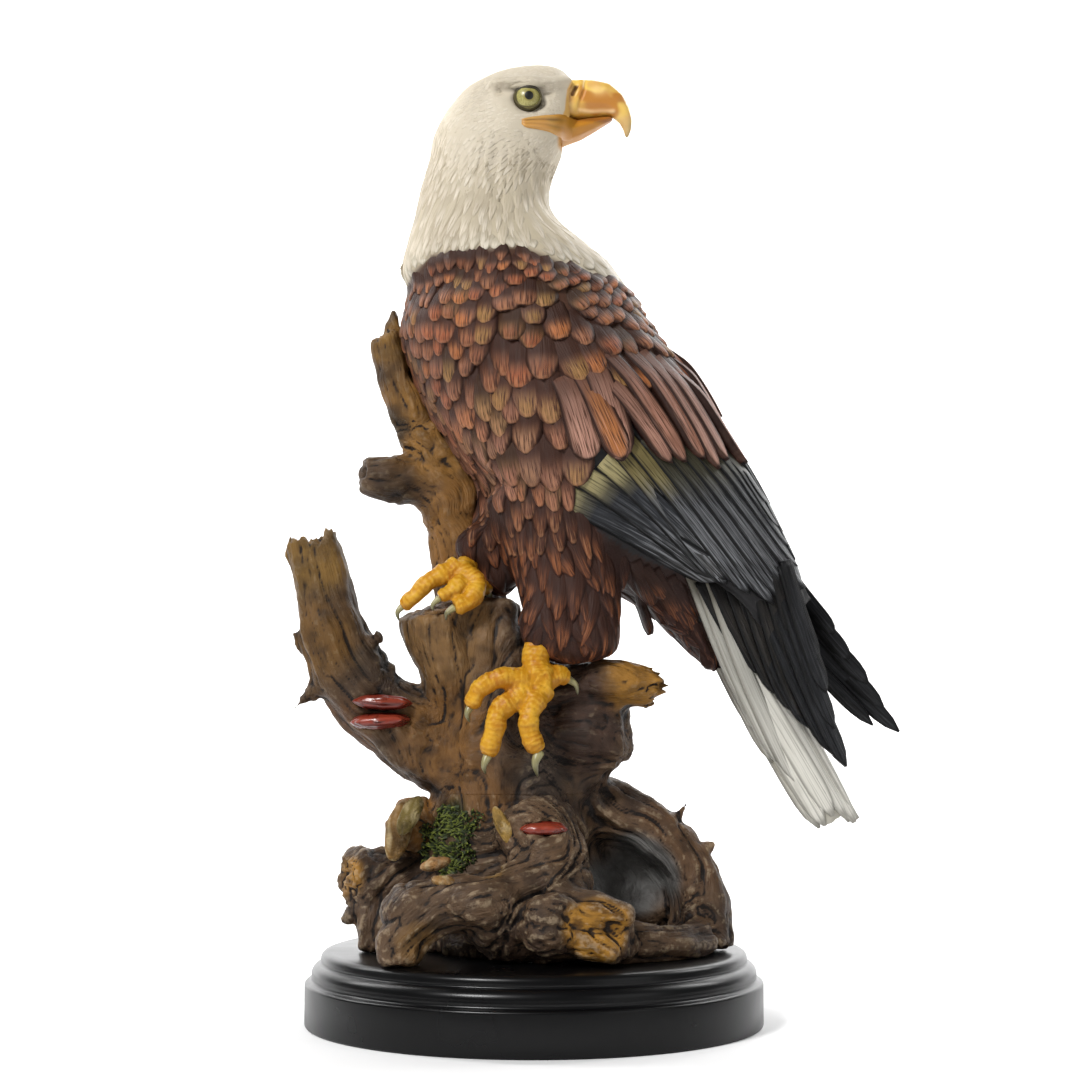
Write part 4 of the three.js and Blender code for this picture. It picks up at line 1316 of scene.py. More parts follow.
def add_quill(coat, middle, up, width, height, colours, luck, point, depth=0.6):
    """A long feather down a line of places, as one vane of the coat."""
    t = np.linspace(0, 1, len(middle))
    up = unit(
        up - (up * unit(np.gradient(middle, axis=0))).sum(1, keepdims=True)
        * unit(np.gradient(middle, axis=0))
    )
    side = np.cross(up, unit(np.gradient(middle, axis=0)))
    half = width / 2 * outline(t, point, 0.82, 0.75)
    a = coat.across[None, :]
    shape = (1, len(middle), a.shape[1])
    lane = np.broadcast_to(a, shape)
    down = np.broadcast_to(t[None, :, None], shape)
    lot = np.full(shape, luck)
    length = np.linalg.norm(np.diff(middle, axis=0), axis=1).sum()
    run = np.stack([lane * half[None, :, None], down * length, lot * 40], axis=-1)
    centre, margin = colours(down[..., None], luck)
    coat.add(
        middle[None], (middle - side * half[:, None])[None], (middle + side * half[:, None])[None], up[None],
        height[None], np.full((1, len(middle)), depth), np.broadcast_to(centre, (*shape, 3)),
        np.broadcast_to(margin, (*shape, 3)), np.stack([lane, down, lot], axis=-1), run, unwrap(middle[:1]),
    )


def quill_layers(coat, sign, t, count, rng, base, rise, tilt, sink=0.0):
    """For each of some quills, its height over the surface along and across it."""
    a = coat.across[None, :]
    for i in range(count):
        layer = base + rise * i / max(count - 1, 1) + 0.15 * rng.standard_normal()
        height = layer + 0.5 * (1 - a**2) + tilt * sign * a
        yield height * smoothstep(sink - 0.3, sink + 0.2, t)[:, None]


def lay_quills(coat, sign, quills, colours, seed, base=0.4, rise=1.2, bow=0.0, point=0.3, tilt=0.5):
    """Long feathers over one side of the skin, each lapping over the one before it."""
    rng = np.random.default_rng(seed)
    t = np.linspace(0, 1, QUILL_STATIONS)
    layers = quill_layers(coat, sign, t, len(quills), rng, base, rise, tilt, 0.15)
    for (start, end, width), height in zip(quills, layers):
        start, end = np.array(start, float), np.array(end, float)
        along = end - start
        cross = np.array([-along[1], along[0]])
        line = start + t[:, None] * along - bow * np.sin(math.pi * t)[:, None] * cross
        last = (sign * 30.0, np.array([0, sign, 0.0]))
        middle, up = [], []
        for x, z in line:
            place, normal = side_of_bird(x, z, sign, last)
            last = (place[1], normal)
            middle.append(place)
            up.append(normal)
        middle, up = smoothed(np.array(middle), 3), smoothed(np.array(up), 5)
        add_quill(coat, middle, up, width * rng.uniform(0.94, 1.06), height, colours, rng.random(), point)


def lay_back_quills(coat, sign, quills, colours, seed, base=0.4, rise=1.2, point=0.35, tilt=0.3):
    """Long feathers down the inner edge of one wing, seen from behind the bird."""
    rng = np.random.default_rng(seed)
    t = np.linspace(0, 1, QUILL_STATIONS)
    layers = quill_layers(coat, sign, t, len(quills), rng, base, rise, tilt, 0.15)
    for (start, end, width), height in zip(quills, layers):
        middle, up = [], []
        for y, z in np.array(start, float) + t[:, None] * (np.array(end, float) - start):
            place, normal, _, _ = SKIN_TREE.ray_cast(Vector((200, sign * y, z)), Vector((-1, 0, 0)))
            middle.append(np.array(place))
            up.append(np.array(normal))
        middle, up = smoothed(np.array(middle), 3), smoothed(np.array(up), 5)
        add_quill(coat, middle, up, width * rng.uniform(0.94, 1.06), height, colours, rng.random(), point)


def hang_quills(coat, sign, quills, depth, colours, seed, base=0.4, rise=3.0, bow=0.02, point=0.3, tilt=0.5):
    """Long feathers that hang free of the body, at a depth from its middle at the root and at the tip."""
    rng = np.random.default_rng(seed)
    t = np.linspace(0, 1, QUILL_STATIONS)
    up = np.tile(unit((0.25, sign, 0.1)), (QUILL_STATIONS, 1))
    layers = quill_layers(coat, sign, t, len(quills), rng, base, rise, tilt)
    for (start, end, width), height in zip(quills, layers):
        start, end = np.array(start, float), np.array(end, float)
        along = end - start
        cross = np.array([-along[1], along[0]])
        x, z = (start + t[:, None] * along - bow * np.sin(math.pi * t)[:, None] * cross).T
        middle = np.stack([x, sign * (depth[0] + (depth[1] - depth[0]) * t), z], axis=1)
        add_quill(coat, middle, up, width * rng.uniform(0.94, 1.06), height, colours, rng.random(), point)


def slate_colours(down, luck):
    dusk = smoothstep(0.2, 0.42, down)
    centre = (1 - dusk) * srgb(146, 134, 88) + dusk * srgb(86 + 16 * luck, 87 + 16 * luck, 90 + 14 * luck)
    margin = (1 - dusk) * srgb(112, 100, 62) + dusk * srgb(22, 23, 25)
    return centre, margin


def dusky_colours(down, luck):
    dusk = smoothstep(0.15, 0.4, down)
    slate, margin = slate_colours(np.ones_like(down), luck)
    return (1 - dusk) * srgb(92, 88, 66) + dusk * slate, (1 - dusk) * srgb(56, 53, 40) + dusk * margin


def shoulder_colours(down, luck):
    centre = mixed(
        np.broadcast_to(MAUVE, (*down.shape[:-1], 3)), srgb(162, 104, 78), 0 * down[..., 0] + luck**2,
    )
    return centre, srgb(112, 78, 64) + 0 * down


def flank_colours(down, luck):
    return srgb(92, 56, 38) * (1 - 0.3 * luck) + 0 * down, srgb(52, 32, 24) + 0 * down


def oval_colours(down, luck):
    return srgb(172, 108, 60) + 0 * down, srgb(112, 74, 58) + 0 * down * luck


def broad_colours(down, luck):
    """Olive roots that darken at once, and a smooth dark blade that lightens towards its tip as a painted
    sheen.
    """
    dusk = smoothstep(0.1, 0.24, down)
    centre = (1 - dusk) * srgb(170, 158, 112) + dusk * srgb(40, 42, 46)
    # Painted sheen: the blade lightens towards its tip.
    late = smoothstep(0.45, 0.9, down)
    centre = (1 - late) * centre + late * srgb(70, 70, 70)
    return centre, centre * 0.8


def coal_colours(down, luck):
    centre = srgb(40, 41, 44) * (1 - 0.3 * down) + 0 * luck
    return centre, srgb(16, 16, 18) + 0 * down


def rump_colours(down, luck):
    centre = srgb(56, 52, 48) * (1 - 0.35 * down) + 0 * luck
    return centre, srgb(22, 20, 19) + 0 * down


def tail_colours(down, luck):
    base = smoothstep(0.35, 0.05, down)
    centre = (1 - base) * srgb(216, 213, 203) + base * srgb(150, 144, 130)
    return centre, centre * 0.84


# Painted shade: the white quills beside the tail are darkened, as the sides of the tail face away from the
# light.
def tail_side_shaded_colours(down, luck):
    centre, margin = tail_colours(down, luck)
    return centre * 0.8, margin * 0.7


def tail_core():
    core = remeshed(["tail"], 1.2, 0.3)
    core.smooth(8)
    tint = np.broadcast_to(srgb(176, 172, 160), core.points.shape)
    finish_piece(
        "tail_core", core, SKIN_PAINT, ["tail"],
        {"tint": with_alpha(tint), "hollow": core.hollowness()},
    )
    return core


TAIL_QUILLS = 13
TAIL_REACH = 112  # degrees round the tail's core from its upper side to its last quill


def dress_tail(tree):
    """The long tail feathers, laid round the core with the middle one on top."""
    line, _ = centreline("tail", 9)
    top, bottom = line[0], line[-1]
    way = unit(bottom - top)
    upper = unit(np.cross(way, (0, 1, 0)))
    upper = upper * np.sign(upper[0])
    coat = Coat(QUILL_LANES)
    t = np.linspace(0, 1, QUILL_STATIONS)
    angles = np.radians(np.linspace(-TAIL_REACH, TAIL_REACH, TAIL_QUILLS))
    rng = np.random.default_rng(61)
    half_count = (TAIL_QUILLS - 1) / 2
    for i in sorted(range(TAIL_QUILLS), key=lambda k: -abs(k - half_count)):
        rank = 1 - abs(i - half_count) / half_count
        length = np.linalg.norm(bottom - top)
        reach = length * (1.0 + 0.045 * rank + 0.02 * rng.standard_normal())
        out = upper * math.cos(angles[i]) + np.array([0, math.sin(angles[i]), 0])
        middle, up = [], []
        for s in t:
            held = top + way * min(s * reach, 0.93 * length)
            place, normal, _, _ = tree.ray_cast(Vector(held + out * 40), Vector(-out))
            if place is None:
                place, normal, _, _ = tree.find_nearest(Vector(held + out * 20))
            middle.append(np.array(place) + way * (s * reach - min(s * reach, 0.93 * length)))
            up.append(np.array(normal))
        a = coat.across[None, :]
        height = 0.4 + 1.3 * rank + 0.35 * (1 - a**2) - 0.3 * np.sign(angles[i]) * a + 0 * t[:, None]
        add_quill(
            coat, smoothed(np.array(middle), 4), smoothed(np.array(up), 4), 9.2, height, tail_colours,
            rng.random(), 0.05,
        )
    coat.piece("tail_feathers", TAIL_PLUMAGE, "white_plumage")


def dress_wings():
    secondaries = [(a, b, 9.0) for a, b in zip(SECONDARY_ROOTS, SECONDARY_TIPS)]
    for name, sign in SIDES.items():
        folded, hanging, white, shoulder, flank = (Coat(QUILL_LANES) for _ in range(5))
        hang_quills(white, sign, TAIL_SIDE_QUILLS, TAIL_SIDE_DEPTH, tail_side_shaded_colours, 43, rise=0.8)
        hang_quills(hanging, sign, RUMP_QUILLS, RUMP_DEPTH, rump_colours, 47, rise=1.5)
        hang_quills(hanging, sign, PRIMARY_QUILLS[name], PRIMARY_DEPTH[name], coal_colours, 51, rise=2.5)
        lay_quills(folded, sign, BROAD_QUILLS, broad_colours, 53, 1.0, 0.8, -0.02, 0.35, 0.2)
        lay_quills(folded, sign, secondaries[:OLIVE_SECONDARIES], slate_colours, 57, 1.7, 0.3, 0.0, 0.35, 0.7)
        lay_quills(folded, sign, secondaries[OLIVE_SECONDARIES:], dusky_colours, 58, 2.1, 0.8, 0.0, 0.35, 0.7)
        lay_back_quills(folded, sign, BACK_QUILLS, dusky_colours, 62, 2.0, 1.2)
        lay_back_quills(shoulder, sign, BACK_COVERTS, shoulder_colours, 63, 2.8, 0.8)
        lay_quills(flank, sign, FLANK_QUILLS, flank_colours, 64, 0.4, 0.8, 0.0, 0.8, 0.2)
        lay_quills(shoulder, sign, SHOULDER_QUILLS, shoulder_colours, 59, 3.2, 0.8, -0.02, 0.6, 0.6)
        lay_quills(shoulder, sign, SHOULDER_OVAL, oval_colours, 60, 3.9, 0.0, 0.0, 0.5, 0.3)
        white.piece(f"tail_{name}_quills", TAIL_PLUMAGE, "white_plumage")
        hanging.piece(f"wing_{name}_tips", COAL_PLUMAGE, "slate_plumage", [f"wing_{name}_primaries"])
        folded.piece(f"wing_{name}_quills", SLATE_PLUMAGE, "slate_plumage")
        shoulder.piece(f"shoulder_{name}_feathers", SHOULDER_PLUMAGE, "brown_plumage")
        flank.piece(f"flank_{name}_feathers", DOWN_PLUMAGE, "brown_plumage")


dress_tail(tail_core().tree())
dress_wings()


# ------------------------------------------------------------------ bill and eyes

def tube(points, radii, sides=10, flat=1.0):
    """A round limb through some points, as a closed surface."""
    points = np.asarray(points, float)
    way = unit(np.gradient(points, axis=0))
    up = np.array([0.0, 1.0, 0.0]) if abs(way[0, 1]) < 0.9 else np.array([0.0, 0.0, 1.0])
    turns = np.linspace(0, 2 * math.pi, sides, endpoint=False)
    rings = []
    for p, d, r in zip(points, way, radii):
        across = unit(np.cross(d, up))
        high = np.cross(across, d)
        rings.append(p + r * (np.cos(turns)[:, None] * across + flat * np.sin(turns)[:, None] * high))
    verts = np.concatenate([*rings, points[:1], points[-1:]])
    count = len(points)
    faces = []
    for row in range(count - 1):
        for i in range(sides):
            j = (i + 1) % sides
            faces.append((row * sides + i, row * sides + j, (row + 1) * sides + j, (row + 1) * sides + i))
    first, last = count * sides, count * sides + 1
    for i in range(sides):
        j = (i + 1) % sides
        faces.append((first, j, i))
        faces.append((last, (count - 1) * sides + i, (count - 1) * sides + j))
    surface = Surface(verts, faces)
    return facing_out(surface)


def together(*surfaces):
    points, faces, first = [], [], 0
    for s in surfaces:
        points.append(s.points)
        faces += [tuple(v + first for v in f) for f in s.faces]
        first += len(s.points)
    return Surface(np.concatenate(points), faces)


def smooth_path(points, count):
    """Evenly placed points on a smooth curve through a few."""
    points = np.asarray(points, float)
    ends = np.concatenate([2 * points[:1] - points[1:2], points, 2 * points[-1:] - points[-2:-1]])
    out = []
    for s in np.linspace(0, len(points) - 1 - 1e-6, count):
        i, t = int(s), s - int(s)
        a, b, c, d = ends[i:i + 4]
        out.append(
            0.5
            * (2 * b + (c - a) * t + (2 * a - 5 * b + 4 * c - d) * t**2 + (3 * b - a - 3 * c + d) * t**3)
        )
    return np.array(out)


def glossy_build(shade, scale, amount, roughness, depth):
    def build(tree):
        marks = use(tree, BRUSH_MARKS, {
            "Colour": attribute(tree, "tint"), "Shade": rgba(shade), "Scale": scale, "Amount": amount,
            "Roughness": roughness,
        })
        return {
            "Base Color": marks["Colour"], "Roughness": marks["Roughness"],
            "Height": (marks["Height"], depth),
        }
    return build


BILL_PAINT = material("bill_paint", glossy_build(srgb(186, 118, 36), 75.0, 0.4, 0.42, 0.12), Coat_Weight=0.12)
# As [x, height] on the side of the bill: the front of the cere, the nostril, and the bright ridge over
# the edge.
CERE_LINE = [(22.8, 414), (22.1, 408.5), (20.3, 403.8), (19.2, 399.5)]
NOSTRIL = [(17.0, 406.8), (18.7, 410.8)]
TOMIUM = [(20, 400.2), (25, 400.0), (30.5, 400.6), (35, 400.6)]
OCHRE = srgb(234, 194, 94)


def flank_line(points, tree, sign, lift=0.0, reach=60.0):
    """Points given as [x, height], set on one side of a surface."""
    out = []
    for x, z in points:
        place, normal, _, _ = tree.ray_cast(Vector((x, sign * reach, z)), Vector((0, -sign, 0)))
        if place is not None:
            out.append(np.array(place) + lift * np.array(normal))
    return np.array(out)


def dress_bill():
    upper = remeshed(["bill_upper"], 0.5, 0.15)
    upper.smooth(9)
    tree = upper.tree()
    ridge = np.zeros(len(upper.points))
    slit = np.zeros(len(upper.points))
    for sign in (LEFT, RIGHT):
        cere = flank_line(smooth_path(CERE_LINE, 12), tree, sign)
        upper.push(
            -0.5 * along_line(upper.points, cere, 1.2) + 0.4
            * along_line(upper.points, cere - (1.8, 0, 0), 2.2)
        )
        ridge += along_line(upper.points, flank_line(smooth_path(TOMIUM, 16), tree, sign), 1.7)
        slit += along_line(upper.points, flank_line(smooth_path(NOSTRIL, 6), tree, sign), 1.6)
    upper.push(0.3 * ridge - 1.1 * slit + 0.12 * layered_noise(upper.points, 5, 61, 2))
    x, _, z = upper.points.T
    blotch = layered_noise(upper.points, 7, 62, 2)
    tint = mixed(
        np.broadcast_to(OCHRE, upper.points.shape), srgb(228, 178, 100), smoothstep(0.0, 0.4, blotch),
    )
    tint = mixed(tint, srgb(190, 126, 48), smoothstep(-0.05, -0.45, blotch))
    tint = mixed(tint, srgb(206, 172, 116), 0.6 * smoothstep(19, 15, x))
    tint = mixed(tint, MANDIBLE, 0.75 * smoothstep(401, 397.5, z) * smoothstep(36, 32, x))
    tint = mixed(tint, srgb(246, 212, 158), 0.75 * np.clip(ridge, 0, 1))
    lit = near(upper.points * (0.6, 0.2, 1), (17.4, 0, 408.5), 5)
    tint = mixed(tint, srgb(252, 218, 146), 0.6 * smoothstep(0, 0.8, lit * (1 + blotch)))
    tint = mixed(tint, srgb(198, 168, 112), smoothstep(402, 393, z) * smoothstep(34, 38, x))
    tint = mixed(tint, srgb(128, 108, 76), 0.8 * smoothstep(393, 387, z) * smoothstep(38, 40, x))
    tint = mixed(tint, srgb(92, 56, 20), 0.9 * smoothstep(0.15, 0.7, slit))
    finish_piece("bill_upper_painted", upper, BILL_PAINT, ["bill_upper"], {"tint": with_alpha(tint)})
    lower = remeshed(["bill_lower"], 0.5, 0.15)
    lower.smooth(7)
    blotch = layered_noise(lower.points, 5, 63, 2)
    lower.push(0.15 * blotch)
    tint = mixed(
        np.broadcast_to(MANDIBLE, lower.points.shape), srgb(186, 132, 36), smoothstep(0.0, 0.4, blotch),
    )
    tint = mixed(tint, srgb(112, 60, 22), 0.85 * smoothstep(394.5, 396.5, lower.points[:, 2]))
    finish_piece("bill_lower_painted", lower, BILL_PAINT, ["bill_lower"], {"tint": with_alpha(tint)})
    return lower.tree()


def outer_reach(trees, x, z, sign):
    """How far the outermost of some surfaces stands off the middle of the bird at [x, z], on one side."""
    reach = []
    for tree in trees:
        place = tree.ray_cast(Vector((x, sign * 60, z)), Vector((0, -sign, 0)))[0]
        reach.append(0.0 if place is None else abs(place.y))
    return max(reach)


GAPE_ALONG, GAPE_ACROSS = 36, 13


def gape_patch(trees, sign):
    """A closed, grooved patch over the corner of the mouth on one side, with its colours."""
    u, v = np.meshgrid(np.linspace(0, 1, GAPE_ALONG), np.linspace(0, 1, GAPE_ACROSS), indexing="ij")
    low = smooth_path([(x, 0, z) for x, z in GAPE_BOTTOM], GAPE_ALONG)[:, None]
    high = smooth_path([(x, 0, z) for x, z in GAPE_TOP], GAPE_ALONG)[:, None]
    place = low + v[..., None] * (high - low)
    reach = np.array([[outer_reach(trees, x, z, sign) for x, _, z in row] for row in place])
    for _ in range(3):
        reach = np.maximum(reach, smoothed(smoothed(reach, 5).T, 1).T)
    edge = smoothstep(0, 0.16, v) * smoothstep(1, 0.86, v) * smoothstep(0, 0.15, u) * smoothstep(1.02, 0.7, u)
    groove = np.maximum(np.exp(-(((v - 0.74) / 0.07) ** 2)), 0.5 * np.exp(-(((v - 0.4) / 0.06) ** 2)))
    groove *= smoothstep(0.95, 0.6, u)
    front, back = place.copy(), place.copy()
    sunk = 1.1 * smoothstep(0.84, 1, u)
    front[..., 1] = sign * (reach + 0.15 + 0.8 * edge - 0.75 * groove * edge - sunk)
    back[..., 1] = sign * (reach - 2.4)
    faces = []
    count = u.size
    for i in range(GAPE_ALONG - 1):
        for k in range(GAPE_ACROSS - 1):
            a, b = i * GAPE_ACROSS + k, (i + 1) * GAPE_ACROSS + k
            faces.append((a, b, b + 1, a + 1))
            faces.append((count + a, count + a + 1, count + b + 1, count + b))
    grid = np.arange(count).reshape(u.shape)
    rim = [*grid[:-1, 0], *grid[-1, :-1], *grid[:0:-1, -1], *grid[0, :0:-1]]
    for a, b in zip(rim, rim[1:] + rim[:1]):
        faces.append((int(b), int(a), count + int(a), count + int(b)))
    shade = mixed(np.broadcast_to(srgb(202, 156, 84), (count, 3)), MANDIBLE, smoothstep(0.3, 0.9, u.ravel()))
    shade = shade * (1 - 0.6 * groove.ravel())[:, None]
    points = np.concatenate([front.reshape(-1, 3), back.reshape(-1, 3)])
    return facing_out(Surface(points, faces)), np.concatenate([shade, shade])


def dress_gape(trees):
    """The bare, grooved skin that runs back from the bill below each eye."""
    patches = [gape_patch(trees, sign) for sign in SIDES.values()]
    tint = np.concatenate([shade for _, shade in patches])
    finish_piece(
        "gape_skin", together(*(patch for patch, _ in patches)), BILL_PAINT,
        attributes={"tint": with_alpha(tint)},
    )


def eye_build(tree):
    """A khaki iris with a dark rim and pupil, read from the turn away from the gaze."""
    turn = attribute(tree, "turn", "Fac")
    place = object_place(tree)
    flecks = noise(tree, place, 1400.0, 2.0)
    iris = blended(tree, masked(tree, flecks, 0.35, 0.65), rgba(srgb(142, 134, 74)), rgba(srgb(170, 162, 98)))
    iris = blended(tree, masked(tree, turn, 30.0, 19.0), iris, rgba(srgb(136, 124, 62)))
    iris = blended(tree, masked(tree, turn, 50.0, 57.0), iris, rgba(srgb(58, 50, 22)))
    return {"Base Color": blended(tree, masked(tree, turn, 19.0, 16.5), iris, rgba(srgb(14, 12, 6)))}


EYE_PAINT = material("eye_paint", eye_build, Roughness=0.4, Coat_Weight=0.2, Coat_Roughness=0.12)
LID_PAINT = material("lid_paint", glossy_build(srgb(40, 34, 16), 90.0, 0.4, 0.5, 0.1))
EYE_WIDTH, EYE_HEIGHT = 5.6, 4.6  # half the opening between the lids
# The fold over the upper lid, from back to front, off the middle of the eye.
BROW_FOLD = [(-10, 1.6, 4.6), (-5, 3.5, 5.1), (0, 4.2, 5.3), (5, 3.4, 5.6), (10, 0.2, 6.2)]


def dress_eyes():
    for name, sign in SIDES.items():
        centre = np.array(EYES[name])
        globe, turn = ball(centre, EYE_RADIUS, axis=(0.14, sign, 0.02))
        finish_piece(f"eye_{name}_painted", globe, EYE_PAINT, [f"eye_{name}"], {"turn": turn})
        turns = np.linspace(0, 2 * math.pi, 41)
        ring = []
        for a in turns:
            off = np.array([EYE_WIDTH * math.cos(a), EYE_HEIGHT * math.sin(a)])
            off[1] = min(off[1], EYE_HEIGHT * 0.9)
            depth = math.sqrt(max(EYE_RADIUS**2 - off @ off, 0))
            ring.append(centre + (off[0] + 0.14 * depth, sign * (depth + 0.1), off[1]))
        thick = 0.42 + 0.35 * np.clip(np.sin(turns), 0, 1)
        lid = tube(np.array(ring), thick, 8)
        brow = [centre + (x, sign * y, z) for x, y, z in BROW_FOLD]
        fold = tube(smooth_path(brow, 24), 0.3 + 1.1 * np.sin(np.linspace(0, math.pi, 24)) ** 0.5, 12)
        tint = np.broadcast_to(srgb(176, 166, 146), fold.points.shape)
        finish_piece(f"brow_{name}", fold, SKIN_PAINT, (), {
            "tint": with_alpha(tint), "hollow": fold.hollowness(),
        })
        # The lid is dark olive, and is painted darker on top as the brow's shadow.
        tint = mixed(np.broadcast_to(srgb(84, 76, 38), lid.points.shape), srgb(44, 38, 24), smoothstep(
            0, 4, lid.points[:, 2] - centre[2]))
        finish_piece(f"lids_{name}", lid, LID_PAINT, attributes={"tint": with_alpha(tint)})


dress_gape([SKIN_TREE, dress_bill()])
dress_eyes()


# ------------------------------------------------------------------ feet

FOOT_PAINT = material(
    "foot_paint", glossy_build(srgb(172, 112, 20), 160.0, 0.35, 0.42, 0.35), Specular_IOR_Level=SATIN,
)
CLAW_PAINT = material("claw_paint", glossy_build(srgb(70, 66, 48), 150.0, 0.5, 0.3, 0.1))
SCUTE = 2.1  # from one scale across a toe to the next
# Each foot's limbs, from the ankle out, as places and the radius at each; then its claws.
FEET = {
    "left": {
        "limbs": [
            ([(1, -34, 168), (0.9, -37, 156), (2.3, -38, 147)], (4.8, 6.2, 7.5)),
            (
                [(2, -38, 147), (-12.6, -43.5, 149.5), (-22.5, -44, 145), (-26.5, -42, 137)],
                (6.0, 4.6, 4.0, 3.6),
            ),
            (
                [(1, -39, 145), (-13.6, -45, 136.5), (-16.5, -46, 126.8), (-19.5, -45, 117)],
                (6.4, 4.8, 4.3, 4.2),
            ),
            (
                [(3, -39, 145), (-1.8, -45.5, 134.5), (-1.4, -46, 125.5), (2.2, -45.5, 118.5)],
                (6.4, 4.5, 4.2, 4.2),
            ),
            ([(3, -38, 148), (10, -35, 150.5), (14.5, -33, 148.5)], (6.5, 4.6, 3.6)),
            ([(-1, -37, 145), (-8, -40, 143)], (6.5, 5.0)),
        ],
        "claws": [
            ([(-26.3, -42, 138), (-28, -43.5, 134.5), (-27, -42.5, 131)], 1.7),
            ([(-19.3, -45, 117), (-20.8, -46.5, 113), (-20.2, -45.5, 109.5)], 1.8),
            ([(2.2, -46, 118.5), (0.6, -48, 113.8), (1.6, -46, 108.4)], 2.2),
            ([(14.5, -33, 149), (17.8, -33.5, 146.5), (18.6, -32.5, 142.5)], 1.6),
        ],
    },
    "right": {
        "limbs": [
            ([(-25, -9, 202), (-31.5, -17, 196)], (4.2, 5.0)),
            (
                [(-33, -19, 197), (-44.5, -23.5, 191), (-51, -24.5, 185), (-56.5, -22.5, 180)],
                (5.2, 3.9, 3.6, 3.4),
            ),
            (
                [(-31.5, -19, 196), (-24.3, -24, 189.5), (-27, -28, 183), (-34, -29.5, 179.5)],
                (5.2, 4.4, 4.2, 3.8),
            ),
            ([(-30, -21, 193), (-33.5, -27, 188), (-40.5, -29.5, 183.5)], (4.8, 3.4, 2.9)),
            ([(-28, -14, 194), (-22.5, -12, 190), (-20, -11, 186)], (4.8, 3.8, 3.2)),
        ],
        "claws": [
            ([(-56.3, -22.5, 180.5), (-58.6, -23.5, 177.5), (-58, -23, 174)], 1.5),
            ([(-34, -30, 179.5), (-37, -31, 177), (-37.5, -30.5, 174)], 1.5),
            ([(-40.5, -29.5, 183.5), (-43.2, -30.5, 180.5), (-42.8, -30, 178)], 1.3),
            ([(-20, -11, 186.5), (-18.6, -11, 183), (-19.3, -12, 180)], 1.4),
        ],
    },
}
KNUCKLE = 8.5  # from one joint's swelling to the next along a toe


def limb(places, radii, count=18, sides=16):
    """A toe or an ankle, swollen at its joints."""
    path = smooth_path(places, count)
    run = np.concatenate([[0], np.cumsum(np.linalg.norm(np.diff(path, axis=0), axis=1))])
    size = np.interp(np.linspace(0, 1, count), np.linspace(0, 1, len(radii)), radii)
    size = size * (1 + 0.07 * np.cos(2 * math.pi * run / KNUCKLE))
    size[-1] *= 0.75
    return tube(path, size, sides, 1.05), path


def even_surface(parts, voxel):
    """One closed, even surface round some overlapping ones."""
    ob = bpy.data.objects.new("scratch", together(*parts).mesh("scratch"))
    return even_copy(ob, voxel)


def nearest_limb(points, paths):
    """For each point, how far along the nearest of some paths it lies."""
    best = np.full(len(points), 1e9)
    run = np.zeros(len(points))
    for path in paths:
        gap, along, _ = polyline_hit(points, path)
        closer = gap < best
        best[closer], run[closer] = gap[closer], along[closer]
    return run


def foot_surface(spec):
    built = [limb(*limb_spec) for limb_spec in spec["limbs"]]
    foot = even_surface([part for part, _ in built], 0.6)
    foot.smooth(8)
    run = nearest_limb(foot.points, [path for _, path in built])
    normal = foot.normals()
    facing = smoothstep(-0.35, 0.4, normal @ unit((0.0, -0.7, 0.7)))
    wave = (run / SCUTE + 0.4 * layered_noise(foot.points, 4, 70, 2)) % 1
    foot.push(facing * 0.26 * wave**0.6 * smoothstep(1, 0.75, wave))
    foot.push(
        0.6 * layered_noise(foot.points, 3.4, 71, 2) + 0.12 * layered_noise(foot.points, 1.1, 72, 2) - 0.1
    )
    return foot


def foot_tint(foot):
    hollow, normal = foot.hollowness(), foot.normals()
    patch = layered_noise(foot.points, 5, 73, 2)
    tint = np.broadcast_to(srgb(200, 140, 26), foot.points.shape)
    tint = mixed(tint, srgb(216, 160, 42), smoothstep(0.0, 0.4, patch))
    tint = mixed(tint, srgb(188, 122, 24), smoothstep(-0.05, -0.45, patch))
    # Painted shade in the hollows between the scales, and a painted highlight on the ridges.
    tint = mixed(tint, srgb(130, 88, 18), 0.5 * smoothstep(0.03, 0.16, hollow))
    tint = mixed(tint, srgb(228, 180, 66), 0.6 * smoothstep(0.02, 0.1, -hollow))
    # Painted shade on the undersides, which face away from the light above.
    tint = mixed(tint, srgb(170, 104, 26), 0.55 * smoothstep(0.1, -0.7, normal[:, 2]))
    # Painted shade: darker towards the back of the bird, most on the far foot.
    return tint * (0.88 - 0.22 * smoothstep(-26, -14, foot.points[:, 1:2]))


def dress_feet():
    for name in SIDES:
        foot = foot_surface(FEET[name])
        nodes = [f"shank_{name}", *(f"toe_{name}_{k}" for k in range(1, 5))]
        finish_piece(
            f"foot_{name}", foot, FOOT_PAINT, nodes, {"tint": with_alpha(foot_tint(foot))},
        )
        claws, low = [], []
        for places, radius in FEET[name]["claws"]:
            along = np.linspace(0, 1, 12)
            claws.append(tube(smooth_path(places, 12), radius * (1.02 - along) ** 0.7 + 0.12, 10))
            low.append(np.concatenate([np.repeat(along, 10), [0, 1]]))
        whole = together(*claws)
        tint = mixed(
            np.broadcast_to(srgb(164, 156, 108), whole.points.shape), srgb(84, 80, 58), np.concatenate(low),
        )
        finish_piece(
            f"claws_{name}", whole, CLAW_PAINT, [f"claw_{name}_{k}" for k in range(1, 5)],
            {"tint": with_alpha(tint)},
        )


dress_feet()


# ------------------------------------------------------------------ driftwood

WOOD = [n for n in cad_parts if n.startswith("root_") or n.startswith("stump_")]
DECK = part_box("plinth")[1].z / MM
BARK = srgb(88, 68, 50)
